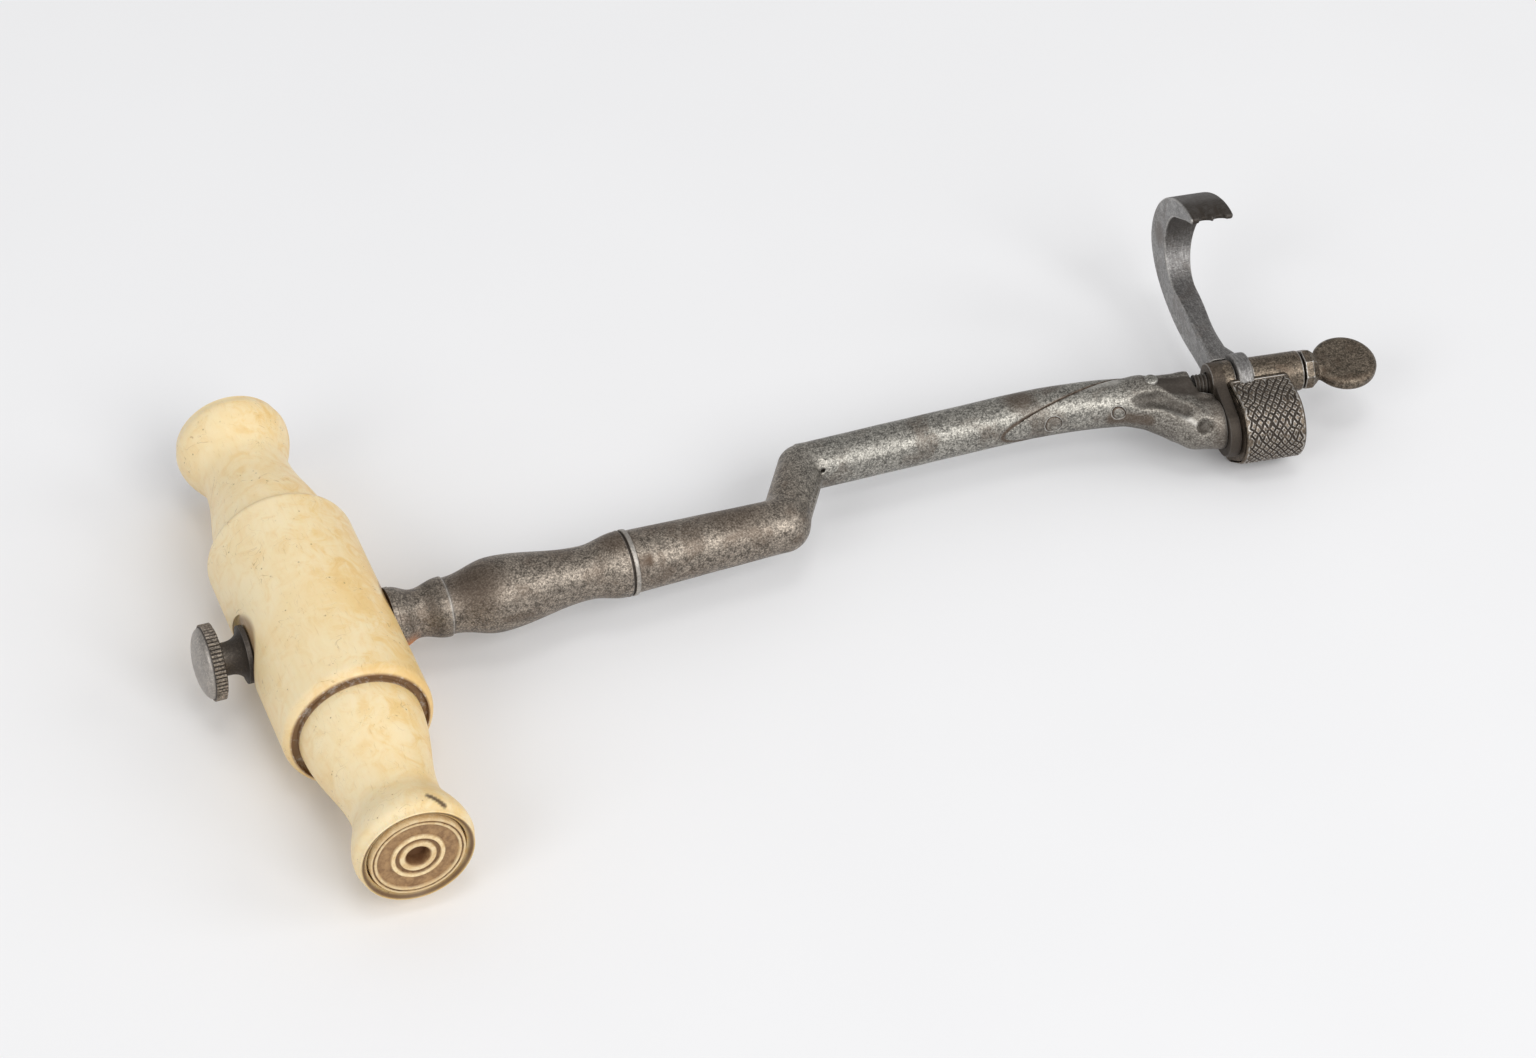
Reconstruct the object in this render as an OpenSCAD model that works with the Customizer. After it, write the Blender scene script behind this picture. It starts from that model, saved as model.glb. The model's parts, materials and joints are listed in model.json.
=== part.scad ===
// Dental key: a T-shaped extraction tool with a turned bone handle across a
// steel shank, a cranked shaft, a padded bolster and a pivoting claw.
// It lies on its handle and bolster. +X runs from the handle to the claw,
// +Y along the handle, and +Z up from the table.

/* [Handle] */
// Length of the whole handle
handle_len = 80; // [70:1:100]
// Length of the middle barrel
barrel_len = 35.6; // [30:0.2:42]
// Largest radius of the barrel
barrel_r = 9.6; // [9:0.1:11]
// Rounding of the barrel's rims
barrel_round = 1.6; // [0.8:0.1:2.2]
// Width of the open groove where an end meets the barrel
joint_groove_w = 0.9; // [0.5:0.1:1.2]
// Depth of that groove
joint_groove_d = 0.8; // [0.4:0.1:1.5]
// Radius of a grip end where it meets the barrel
grip_root_r = 7.8; // [7:0.1:8.2]
// Radius of a grip end at its waist
grip_waist_r = 5.7; // [5.2:0.1:6.4]
// Radius of a grip end at its flare
grip_flare_r = 7.47; // [7:0.1:9]
// Distance of the waist from the tip of the handle
grip_waist_at = 8.6; // [7:0.2:11]
// Distance of the flare's crest from the tip of the handle
grip_crest_at = 1.7; // [1.2:0.1:2.6]
// How much smaller the end face is than the flare
face_inset = 0.45; // [0.2:0.05:0.8]
// Radius of the screwed spigot of a grip end
spigot_r = 4.2; // [3.4:0.1:4.6]
// Length of that spigot
spigot_len = 8; // [5:0.5:9]

/* [End plugs] */
// Radius of the recess in a grip end
recess_r = 6.2; // [5.8:0.1:6.6]
// Radius of an end plug's disc
plug_r = 5.85; // [5.2:0.05:5.95]
// Depth of the plug's disc
plug_t = 2.2; // [1.6:0.1:3]
// Radius of the plug's stem
plug_stem_r = 2.4; // [1.8:0.1:3]
// Length of the plug's stem
plug_stem_len = 5; // [3:0.5:7]
// Depth of the turned rings in the plug
ring_d = 0.35; // [0.2:0.05:0.6]
// Radius of the plug's centre hole
plug_hole_r = 0.75; // [0.5:0.05:1]

/* [Shank] */
// Distance from the handle's axis to the shank's seat on the barrel
seat_x = 9.1; // [8.6:0.1:9.2]
// Radius of the base flange
base_r = 4.1; // [3.8:0.1:4.6]
// Thickness of the base flange
base_t = 0.7; // [0.5:0.1:1]
// Radius of the tang inside the handle
tang_r = 3; // [2.6:0.1:3.2]
// Length of the tang inside the handle
tang_len = 15.6; // [13:0.2:16]
// Radius of the neck between flange and bead
neck_r = 3.1; // [2.8:0.1:3.4]
// Place of the neck's narrowest point
neck_x = 12.6; // [12:0.1:13.4]
// Radius of the bead
bead_r = 3.85; // [3.6:0.05:4.2]
// Place of the bead
bead_x = 16; // [15.4:0.1:16.6]
// Radius of the baluster
baluster_r = 4.83; // [4.4:0.05:5.4]
// Place of the baluster's crest
baluster_x = 23; // [22:0.5:25]
// Radius of the baluster's waist
waist_r = 3.48; // [3.2:0.05:3.8]
// Place of the waist
waist_x = 35; // [33:0.5:36]
// Radius of the collar
collar_r = 4.3; // [4.1:0.05:4.8]
// Place of the collar's groove
collar_x = 40.9; // [39.5:0.1:42]
// Radius of the bar after the collar
bar_r = 4.02; // [3.8:0.02:4.2]
// Radius of the bar at the crank
bar_end_r = 3.47; // [3.2:0.01:3.7]
// Height of the small steps beside the bead and in the collar's groove
step_d = 0.22; // [0.1:0.02:0.3]
// Width of the collar's groove, and of the bead's edge
step_w = 0.35; // [0.25:0.05:0.5]

/* [Crank] */
// Place of the crank's lower corner
crank_x = 62.4; // [58:0.2:66]
// Length of the crank along the shank
crank_run = 5.8; // [4:0.2:8]
// Sideways throw of the crank
crank_throw = 9.6; // [7:0.1:12]
// Radius of the offset bar
offset_r = 3.2; // [2.9:0.05:3.3]
// Where the offset bar starts to curve back
curve_x = 98; // [92:0.5:101]
// Radius of that curve
curve_r = 64; // [56:1:80]
// Angle of that curve
curve_angle = 16; // [12:0.5:18]

/* [Splice] */
// Where the splice shows at the front of the bar
splice_x = 95.2; // [88:0.2:97]
// Length of the spliced joint
splice_len = 20; // [18:0.5:24]
// Angle of the splice across the bar
splice_angle = 9.7; // [8.5:0.1:10.5]
// Radius of the larger splice rivet
rivet_large_r = 1.1; // [0.9:0.05:1.3]
// Place of the larger rivet
rivet_large_x = 102.8; // [101:0.1:105]
// Radius of the smaller splice rivet
rivet_small_r = 0.78; // [0.6:0.02:1]
// Place of the smaller rivet
rivet_small_x = 111.4; // [109:0.1:112]
// Radius of the pin that holds the bolster's tang
arm_pin_r = 0.7; // [0.5:0.05:0.85]
// Radius of that pin's domed head
arm_pin_head_r = 0.95; // [0.9:0.05:1.2]

/* [Bolster] */
// Distance from the handle's axis to the claw's pivot
pivot_x = 130.3; // [129:0.1:132]
// Sideways place of the claw's pivot
pivot_y = 6.9; // [6:0.1:8]
// Angle of the bolster across the shank
bit_yaw = 6.5; // [5:0.1:8]
// Length of the pad
pad_len = 8.6; // [7.5:0.1:8.8]
// How far the pad starts before the pivot
pad_start = 2.6; // [2.4:0.05:2.8]
// Radius of the pad's face
pad_r = 4.9; // [4.4:0.05:5.2]
// How far the pad's face centre lies before the pivot
pad_fore = 6.3; // [6.1:0.05:6.8]
// How far the pad's face centre lies below the pivot
pad_drop = 2.9; // [2.7:0.05:3.1]
// Radius of the pad's heel
heel_r = 3.4; // [3:0.05:3.6]
// How far the heel's centre lies before the pivot
heel_fore = 4.4; // [4.2:0.05:4.8]
// Rounding of the pad's rims
pad_round = 0.6; // [0.3:0.05:0.9]
// Radius of the boss before the claw
boss_r = 2.8; // [2.6:0.05:3]
// Length of the boss
boss_len = 3.35; // [3:0.05:3.6]
// How far the boss stands out of the neck
boss_proud = 0.2; // [0.1:0.05:0.4]
// Radius of the barrel after the claw
lug_r = 2.7; // [2.5:0.05:2.9]
// Length of that barrel
lug_len = 7.2; // [6.6:0.1:7.6]
// Radius of the neck behind the pad
neck_disc_r = 3.7; // [3.4:0.05:4]
// Radius of the pad's back corner over the boss
pad_back_r = 1.7; // [1.4:0.05:1.9]
// Radius of the tang in the arm
bolster_tang_r = 1.4; // [1.1:0.05:1.5]

/* [Claw] */
// Radius of the claw's eye
eye_r = 3.55; // [3.3:0.05:3.8]
// Thickness of the claw's eye
eye_t = 2.1; // [1.8:0.05:2.3]
// Distance from the pivot to the back of the hook
claw_reach = 28.6; // [27:0.2:32]
// Height of the hook's crown over the pivot
claw_rise = 16; // [15:0.2:18]
// Depth of the arm below the pivot
arm_low = 3.2; // [2.8:0.05:3.5]
// Height of the arm above the pivot
arm_high = 1.6; // [1.2:0.05:2]
// Length of the arm's outer sweep up to the hook's back
sweep_len = 13.6; // [12:0.2:15]
// Height of that sweep
sweep_rise = 7.8; // [7:0.1:9]
// Inner radius of the hook
hook_in_r = 5.7; // [5:0.1:6]
// Thickness of the hook at its back
hook_t = 5.1; // [4.4:0.1:5.6]
// Distance of the crown from the pivot
crown_y = 15.2; // [15.1:0.1:16.4]
// Distance of the teeth from the pivot
tip_y = 15; // [13.5:0.1:15]
// Thickness of the tip at the teeth
tip_t = 0.5; // [0.4:0.05:1]
// Width of the claw at its teeth
tip_w = 6.15; // [5:0.05:6.4]
// Width of the claw's arm
arm_w = 2.95; // [2.6:0.05:3.2]
// How far behind the pivot the claw's flat side starts
root_start = 2.4; // [2:0.1:2.8]
// Where the claw's root has narrowed to the arm
root_end = 6; // [5:0.2:9]
// How far the claw's flat side lies before the pivot
claw_side = 3.1; // [2.8:0.05:3.2]
// Number of teeth
tooth_count = 3; // [2:1:4]
// Radius of the grooves between the teeth
tooth_groove_r = 0.6; // [0.4:0.05:0.7]

/* [Claw screw] */
// Radius of the screw
screw_r = 1.5; // [1.3:0.05:1.6]
// How far the screw's tip stands out of the boss
screw_tip = 2; // [1.5:0.1:2.2]
// Radius of the faceted collar over its corners
facet_r = 2.75; // [2.5:0.05:3]
// Length of the faceted collar
facet_len = 1.1; // [0.8:0.1:1.4]
// Length of the taper from the collar to the leaf
taper_len = 1.2; // [0.8:0.1:1.6]
// Width of the leaf's neck
leaf_neck_w = 3.2; // [2.4:0.1:4]
// Radius of the leaf
leaf_r = 4.45; // [4:0.05:5]
// Thickness of the leaf
leaf_t = 2; // [1.6:0.1:2.4]
// Distance from the pivot to the leaf's centre
leaf_at = 15; // [14.6:0.1:15.6]
// Turn of the leaf about the screw
leaf_turn = 7; // [0:1:30]

/* [Thumb screw] */
// Radius of the thumb screw's button
button_r = 4.85; // [4.4:0.05:5.4]
// Width of the knurled rim
button_rim = 1.7; // [1.3:0.1:2.2]
// Height of the button's dome
button_dome = 1.4; // [0.8:0.1:1.8]
// Number of ridges on the rim
ridge_count = 56; // [40:1:64]
// Depth of the grooves between the ridges
ridge_d = 0.16; // [0.1:0.02:0.2]
// Radius of the button's stem
stem_r = 2.1; // [1.9:0.05:2.4]
// Length of the stem and its flare
stem_len = 3; // [2.6:0.1:4]
// Radius of the flare's foot
foot_r = 3.7; // [3.4:0.05:3.9]
// Thickness of the foot
foot_t = 0.7; // [0.3:0.05:0.8]
// Distance from the handle's axis to the foot's seat
foot_x = 9.1; // [8.5:0.1:9.3]
// Radius of the thumb screw's thread
thread_r = 1.6; // [1.3:0.05:1.8]
// Length of the thread
thread_len = 9; // [6:0.5:10]

/* [Fits] */
// Running clearance of a turning pin, and of a spigot or tang in its hole
fit_gap = 0.05; // [0.02:0.01:0.08]
// Clearance beside a moving face
side_gap = 0.15; // [0.1:0.05:0.2]
// Clearance round a recess or a swinging part
free_gap = 0.35; // [0.3:0.05:0.45]

/* [Hidden] */
$fn = 64;
hull_fn = 32;
// Overlap of solids that are joined, and reach of a cut past a face
eps = 0.01;
past = 1;
// How far the crank's rounded corners stand proud of the bars
corner_lift = 0.05;

bone = [0.93, 0.87, 0.70];
plug_bone = [0.80, 0.69, 0.48];
steel = [0.42, 0.41, 0.39];
brown_steel = [0.40, 0.35, 0.30];
claw_steel = [0.56, 0.56, 0.55];

half_len = handle_len / 2;
barrel_half = barrel_len / 2;
grip_len = half_len - barrel_half;

// The bottom of the pad rests on the table with the barrel
heel_drop = barrel_r - heel_r;

claw_tip_z = claw_rise - 0.4 * tip_t;
eye_half = eye_t / 2;
boss_start = -eye_half - side_gap - boss_len;
lug_start = eye_half + side_gap;
lug_end = lug_start + lug_len;
facet_start = lug_end + free_gap;
taper_end = facet_start + facet_len + taper_len;
pad_end = pad_len - pad_start;
arm_face = boss_start + boss_proud;

button_back = foot_x + foot_t + stem_len;
button_front = button_back + button_rim + button_dome;

// The box of the whole key, which places the origin under its middle
max_x = pivot_x + leaf_at * cos(bit_yaw) + leaf_r;
centre_x = (max_x - button_front) / 2;

curve_bar_r = offset_r + 0.06;
// Radius of the arm where it takes over from the curved bar
joint_r = curve_bar_r + 0.09;

// Where the curved bar ends
curve_end = [curve_x + curve_r * sin(curve_angle),
    crank_throw - curve_r * (1 - cos(curve_angle))];

// Stations of the arm's lower lobe, from the bar to the bolster, about the pivot
lobe_mid = [-9.5, -4.1, -1.6];
lobe_low = [-7.7, -5.1, -2.25];
lobe_end = [arm_face, -5.7, -2.5];
lobe_r = 3.3;
fin_start = -8.9;
fin_r = 2.6;
fin_mid = [fin_start, -0.5, -0.3];
tang_start = lobe_end + [past, 0, 0];
tang_end = [-14.6, -0.6, 0];
tang_axis = (tang_end - tang_start) / norm(tang_end - tang_start);
pin_place = [-13.1, -1.1];
pin_foot_z = -2.35;
pin_head_z = 3.3;
fin_low = [arm_face, -1.7, -1.7];

// The three rounds of the pad's outline, as [across, up, radius]
pad_rounds = [[-pad_fore, -pad_drop, pad_r], [-heel_fore, -heel_drop, heel_r], [-2.7, 0.3, pad_back_r]];

// Points on an ellipse from one angle to another
function arc(c, a, b, from, to, n = 12) =
    [for (i = [0:n]) let(t = from + (to - from) * i / n) [c[0] + a * cos(t), c[1] + b * sin(t)]];

// Points of a smooth swell between two turned radii, as [radius, place]
function swell(p, q, n = 8) =
    [for (i = [1:n]) let(t = i / n)
        [p[0] + (q[0] - p[0]) * (1 - cos(180 * t)) / 2, p[1] + (q[1] - p[1]) * t]];

module placed() {
    translate([-centre_x, 0, barrel_r]) children();
}

// Turned about the handle's axis, with the profile's height along +Y
module turned_y(points) {
    rotate([-90, 0, 0]) rotate_extrude() polygon(points);
}

// Turned about the shank's axis, with the profile's height along +X
module turned_x(points) {
    rotate([0, 90, 0]) rotate_extrude() polygon(points);
}

module rod(from, to, r) {
    translate([from, 0, 0]) rotate([0, 90, 0]) cylinder(h = to - from, r = r);
}

// A short disc across the pivot's axis for a hull, from its own place along +X
module disc(h, r) {
    translate([min(h, 0), 0, 0]) rotate([0, 90, 0]) cylinder(h = abs(h), r = r, $fn = hull_fn);
}

module rod_between(p, q, r) {
    d = q - p;
    translate(p) rotate([0, acos(d[2] / norm(d)), atan2(d[1], d[0])]) cylinder(h = norm(d), r = r);
}

// The frame of the bolster, with its origin on the claw's pivot
module at_pivot() {
    placed() translate([pivot_x, pivot_y, 0]) rotate([0, 0, -bit_yaw]) children();
}

// A prism along the pivot's axis from an outline in the plane across it
module across(from, to) {
    translate([from, 0, 0]) rotate([90, 0, 90]) linear_extrude(to - from) children();
}

module handle_barrel() {
    rim = barrel_r - barrel_round;
    groove_r = grip_root_r + joint_groove_w;
    outline = concat(
        [[0, -barrel_half], [rim, -barrel_half]],
        arc([rim, barrel_round - barrel_half], barrel_round, barrel_round, -90, 0),
        arc([rim, barrel_half - barrel_round], barrel_round, barrel_round, 0, 90),
        [[0, barrel_half]]);
    color(bone) placed() difference() {
        turned_y(outline);
        for (side = [-1, 1]) rotate([-90 * side, 0, 0]) {
            translate([0, 0, barrel_half - joint_groove_d]) cylinder(h = joint_groove_d + past, r = groove_r);
            translate([0, 0, barrel_half - spigot_len - fit_gap])
                cylinder(h = spigot_len + past, r = spigot_r + fit_gap);
        }
        rod(-barrel_r, barrel_r, tang_r + fit_gap);
        rod(seat_x, barrel_r + past, base_r + free_gap);
        rod(-barrel_r - past, side_gap - foot_x, foot_r + free_gap);
    }
}

module grip_end() {
    crest = grip_len - grip_crest_at;
    waist = grip_len - grip_waist_at;
    face_r = grip_flare_r - face_inset;
    outline = concat(
        [[0, -spigot_len], [spigot_r, -spigot_len], [spigot_r, -joint_groove_d],
            [grip_root_r, -joint_groove_d], [grip_root_r, 0]],
        swell([grip_root_r, 0], [grip_waist_r, waist], 12),
        swell([grip_waist_r, waist], [grip_flare_r, crest]),
        swell([grip_flare_r, crest], [face_r, grip_len]),
        [[0, grip_len]]);
    color(bone) placed() translate([0, barrel_half, 0]) difference() {
        turned_y(outline);
        rotate([-90, 0, 0]) {
            translate([0, 0, grip_len - plug_t]) cylinder(h = plug_t + past, r = recess_r);
            translate([0, 0, grip_len - plug_t - plug_stem_len - fit_gap])
                cylinder(h = plug_stem_len + past, r = plug_stem_r + fit_gap);
        }
    }
}

module grip_end_near() {
    mirror([0, 1, 0]) grip_end();
}

module grip_end_far() {
    grip_end();
}

// Disc with turned rings that closes a grip end
module end_plug() {
    inner = plug_hole_r + 0.55;
    ring_w = 0.65;
    band_in = inner + ring_w + 0.5;
    band_out = plug_r - 0.75;
    step = 0.25;
    color(plug_bone) placed() translate([0, half_len, 0]) difference() {
        turned_y([[0, -plug_t - plug_stem_len], [plug_stem_r, -plug_t - plug_stem_len],
            [plug_stem_r, -plug_t], [plug_r, -plug_t], [plug_r, -step], [plug_r - step, 0], [band_out, 0],
            [band_out - step, -ring_d], [band_in + step, -ring_d], [band_in, 0], [inner + ring_w, 0],
            [inner + ring_w / 2, -ring_d], [inner, 0], [0, 0]]);
        rotate([-90, 0, 0]) translate([0, 0, -plug_t]) cylinder(h = plug_t + past, r = plug_hole_r);
    }
}

module end_plug_near() {
    mirror([0, 1, 0]) end_plug();
}

module end_plug_far() {
    end_plug();
}

module straight_bar() {
    translate([0, crank_throw, 0]) rod(crank_x + crank_run, curve_x, offset_r);
}

// The bar's curve back towards the shank's axis, a hair thicker than the straight
module curved_bar() {
    translate([curve_x, crank_throw - curve_r, 0]) rotate([0, 0, 90 - curve_angle])
        rotate_extrude(angle = curve_angle) translate([curve_r, 0]) circle(r = curve_bar_r);
}

// Frame of the splice: its plane holds Z, and crosses the bar at a small angle
module at_splice() {
    translate([splice_x, crank_throw - offset_r, 0]) rotate([0, 0, splice_angle]) children();
}

// A prism that stands up through the bar, from an outline beside the splice
module beside_splice() {
    at_splice() translate([0, 0, -2 * offset_r]) linear_extrude(4 * offset_r) children();
}

// What the shank leaves to the arm: all in front of the splice and past the tongue's end
module front_side() {
    wide = 4 * offset_r;
    beside_splice() polygon([[0, -wide], [2 * splice_len, -wide], [2 * splice_len, wide],
        [splice_len, wide], [splice_len, 0], [0, 0]]);
}

// What the arm leaves to the shank: all behind the splice, and before its start
module tongue_side() {
    wide = 4 * offset_r;
    beside_splice() polygon([[0, -wide], [0, -fit_gap], [splice_len + fit_gap, -fit_gap],
        [splice_len + fit_gap, wide], [-crank_x, wide], [-crank_x, -wide]]);
}

module splice_hole(x, z, r) {
    translate([x, crank_throw - offset_r, z]) rotate([0, 0, splice_angle]) rotate([-90, 0, 0])
        translate([0, 0, -2 * offset_r]) cylinder(h = 6 * offset_r, r = r);
}

module splice_holes() {
    splice_hole(rivet_large_x, rivet_large_r / 4, rivet_large_r + fit_gap);
    splice_hole(rivet_small_x, rivet_small_r, rivet_small_r + fit_gap);
}

module shank() {
    profile = concat(
        [[0, seat_x], [base_r, seat_x], [base_r, seat_x + base_t]],
        swell([base_r, seat_x + base_t], [neck_r, neck_x]),
        swell([neck_r, neck_x], [bead_r, bead_x - step_w]),
        [[bead_r, bead_x], [bead_r - step_d, bead_x], [bead_r - step_d, bead_x + step_w]],
        swell([bead_r - step_d, bead_x + step_w], [baluster_r, baluster_x]),
        swell([baluster_r, baluster_x], [waist_r, waist_x], 12),
        swell([waist_r, waist_x], [collar_r, collar_x - step_w]),
        [[collar_r, collar_x], [collar_r - step_d, collar_x], [collar_r - step_d, collar_x + step_w],
            [collar_r, collar_x + step_w], [bar_r, collar_x + 5 * step_w], [bar_end_r, crank_x],
            [0, crank_x]]);
    top = crank_x + crank_run;
    color(steel) placed() difference() {
        union() {
            rod(seat_x - tang_len, seat_x + eps, tang_r);
            turned_x(profile);
            hull() {
                translate([crank_x, 0, 0]) sphere(r = bar_end_r + corner_lift, $fn = hull_fn);
                translate([top, crank_throw, 0]) sphere(r = offset_r + corner_lift, $fn = hull_fn);
            }
            difference() {
                union() {
                    straight_bar();
                    curved_bar();
                }
                front_side();
            }
        }
        rod(seat_x - tang_len - past, thread_len - foot_x + past, thread_r + fit_gap);
        splice_holes();
    }
}

// The forged end of the arm, in five blended stretches from the bar to the bolster
module arm_end() {
    bar_end = [curve_end[0] - pivot_x, curve_end[1] - pivot_y, 0];
    turned = [bar_end[0] * cos(bit_yaw) - bar_end[1] * sin(bit_yaw),
        bar_end[0] * sin(bit_yaw) + bar_end[1] * cos(bit_yaw), 0];
    hull() {
        translate(turned) sphere(r = joint_r, $fn = hull_fn);
        translate(lobe_mid) sphere(r = lobe_r, $fn = hull_fn);
    }
    hull() {
        translate(lobe_mid) sphere(r = lobe_r, $fn = hull_fn);
        translate(lobe_low) sphere(r = lobe_r, $fn = hull_fn);
    }
    hull() {
        translate(lobe_low) sphere(r = lobe_r, $fn = hull_fn);
        translate(lobe_end) disc(-0.5, lobe_r);
    }
    hull() {
        translate(turned) sphere(r = joint_r, $fn = hull_fn);
        translate(fin_mid) disc(1, fin_r);
    }
    hull() {
        translate(fin_mid) disc(1, fin_r);
        translate(lobe_mid) sphere(r = lobe_r - 0.2, $fn = hull_fn);
        translate(lobe_end) disc(-0.6, lobe_r - 0.3);
        translate(fin_low) disc(-0.6, lobe_r - 1.1);
    }
}

module bit_arm() {
    color(steel) difference() {
        union() {
            placed() curved_bar();
            placed() straight_bar();
            at_pivot() arm_end();
        }
        placed() tongue_side();
        placed() splice_holes();
        at_pivot() {
            notch();
            rod(boss_start - fit_gap, arm_face + past, boss_r + fit_gap);
            rod_between(tang_start, tang_end + side_gap * tang_axis, bolster_tang_r + fit_gap);
            pin_hole();
        }
    }
}

// Upright hole through the arm and the bolster's tang for the pin
module pin_hole() {
    translate([pin_place[0], pin_place[1], pin_foot_z - fit_gap])
        cylinder(h = pin_head_z - pin_foot_z + past, r = arm_pin_r + fit_gap);
}

// Scoop at the end of the arm that leaves room for the screw's tip
module notch() {
    side = 2.5;
    low = -1.2;
    high = 4.5;
    translate([arm_face, -side, 0]) rotate([90, 0, 0]) mirror([0, 0, 1]) linear_extrude(side + fin_r + past)
        polygon([[past, low], [-0.5, low], [-1.4, -0.3], [-2.4, 1.2], [-3.4, 2.7], [-3.9, high],
            [past, high]]);
    rod(boss_start - screw_tip - free_gap, arm_face + past, screw_r + 0.6);
}

module splice_rivet(x, z, r) {
    color(steel) placed() intersection() {
        union() {
            straight_bar();
            curved_bar();
        }
        splice_hole(x, z, r);
    }
}

module splice_rivet_large() {
    splice_rivet(rivet_large_x, rivet_large_r / 4, rivet_large_r);
}

module splice_rivet_small() {
    splice_rivet(rivet_small_x, rivet_small_r, rivet_small_r);
}

module arm_pin() {
    color(steel) at_pivot() translate([pin_place[0], pin_place[1], 0]) {
        translate([0, 0, pin_foot_z]) cylinder(h = pin_head_z - pin_foot_z + eps, r = arm_pin_r);
        translate([0, 0, pin_head_z]) intersection() {
            translate([0, 0, -arm_pin_head_r / 2]) sphere(r = arm_pin_head_r);
            cylinder(h = arm_pin_head_r, r = arm_pin_head_r);
        }
    }
}

// The pad, hulled from discs that follow its rounded rims
module pad() {
    hull() for (c = pad_rounds, turn = [0:30:90]) {
        inset = pad_round * (1 - cos(turn));
        shrink = pad_round * (1 - sin(turn));
        for (x = [inset - pad_start, pad_end - inset - eps])
            translate([x, c[0], c[1]]) rotate([0, 90, 0]) cylinder(h = eps, r = c[2] - shrink, $fn = hull_fn);
    }
}

module bolster() {
    color(brown_steel) at_pivot() difference() {
        union() {
            pad();
            rod(boss_start, -lug_start, boss_r);
            rod(lug_start, lug_end, lug_r);
            hull() {
                translate([arm_face, -pad_fore, -pad_drop]) rotate([0, 90, 0])
                    cylinder(h = -arm_face - pad_start + eps, r = neck_disc_r, $fn = hull_fn);
                translate([arm_face, 0, 0]) rotate([0, 90, 0])
                    cylinder(h = -arm_face - pad_start + eps, r = boss_r - 0.4, $fn = hull_fn);
            }
            rod_between(tang_start, tang_end, bolster_tang_r);
        }
        pin_hole();
        rod(-lug_start, lug_start, eye_r + free_gap);
        rod(boss_start - past, lug_end + past, screw_r + fit_gap);
    }
}

// Outline of the claw across the pivot, as [out from the pivot, up]
function claw_outline() =
    let(back_z = sweep_rise - arm_low)
    let(inside = [claw_reach - hook_t - hook_in_r, arm_high + hook_in_r])
    concat(
        [[0, arm_high], [0, -arm_low]],
        arc([claw_reach - sweep_len, back_z], sweep_len, sweep_rise, -90, 0),
        arc([crown_y, back_z], claw_reach - crown_y, claw_rise - back_z, 5, 90),
        [[tip_y, claw_tip_z], [tip_y, claw_tip_z - tip_t]],
        arc(inside, hook_in_r, hook_in_r, 55, -90));

module claw() {
    right = arm_w - claw_side;
    tip_right = tip_w - claw_side;
    color(claw_steel) at_pivot() difference() {
        union() {
            intersection() {
                across(-claw_side, tip_w) polygon(claw_outline());
                union() {
                    translate([0, claw_reach + past, 0]) rotate([90, 0, 0])
                        linear_extrude(claw_reach + 2 * past)
                        polygon([[-claw_side, -arm_low - past], [right, -arm_low - past],
                            [right, 0], [tip_right, claw_tip_z], [tip_right, claw_rise + past],
                            [-claw_side, claw_rise + past]]);
                    translate([0, 0, -arm_low - past]) linear_extrude(arm_low + arm_high + 2 * past)
                        polygon([[-eye_half, -past], [eye_half, -past], [eye_half, eye_r],
                            [right, root_end], [-eye_half, root_end]]);
                }
            }
            rod(-eye_half, eye_half, eye_r);
        }
        rod(-claw_side - past, -eye_half, boss_r + free_gap);
        across(-claw_side - past, -eye_half) translate([-past, -arm_low - past])
            square([past + root_start, arm_low + arm_high + 2 * past]);
        rod(-eye_half - past, eye_half + past, screw_r + fit_gap);
        tooth_grooves();
    }
}

module tooth_grooves() {
    pitch = tip_w / tooth_count;
    run = 5;
    for (i = [1:1:tooth_count - 1]) translate([i * pitch - claw_side, tip_y, claw_tip_z]) {
        translate([0, -0.2, -tip_t - past]) cylinder(h = tip_t + 2 * past, r = tooth_groove_r);
        translate([0, -past, tooth_groove_r + 0.05]) rotate([-88, 0, 0])
            cylinder(h = run, r = tooth_groove_r);
    }
}

module claw_screw() {
    edge = leaf_t / 2;
    neck_t = 0.7 * leaf_t;
    color(brown_steel) at_pivot() rotate([leaf_turn, 0, 0]) {
        rod(boss_start - screw_tip, facet_start + eps, screw_r);
        facets(facet_start, facet_len);
        hull() {
            facets(facet_start + facet_len - eps, eps);
            translate([taper_end, -leaf_neck_w / 2, -neck_t / 2]) cube([eps, leaf_neck_w, neck_t]);
        }
        translate([taper_end - eps, -leaf_neck_w / 2, -neck_t / 2])
            cube([leaf_at - taper_end, leaf_neck_w, neck_t]);
        translate([leaf_at, 0, 0]) rotate_extrude()
            polygon(concat([[0, -edge], [leaf_r - edge, -edge]],
                arc([leaf_r - edge, 0], edge, edge, -90, 90), [[0, edge]]));
    }
}

// The faceted collar, eight-sided with a flat on top
module facets(from, length) {
    sides = 8;
    translate([from, 0, 0]) rotate([0, 90, 0]) rotate([0, 0, 180 / sides])
        cylinder(h = length, r = facet_r, $fn = sides);
}

// Outline of the knurled rim, with one notch between two ridges
module knurled_disc() {
    polygon([for (i = [0:ridge_count - 1], k = [0, 1])
        let(r = button_r - k * ridge_d, t = 360 * (i + k / 2) / ridge_count) [r * cos(t), r * sin(t)]]);
}

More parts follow.
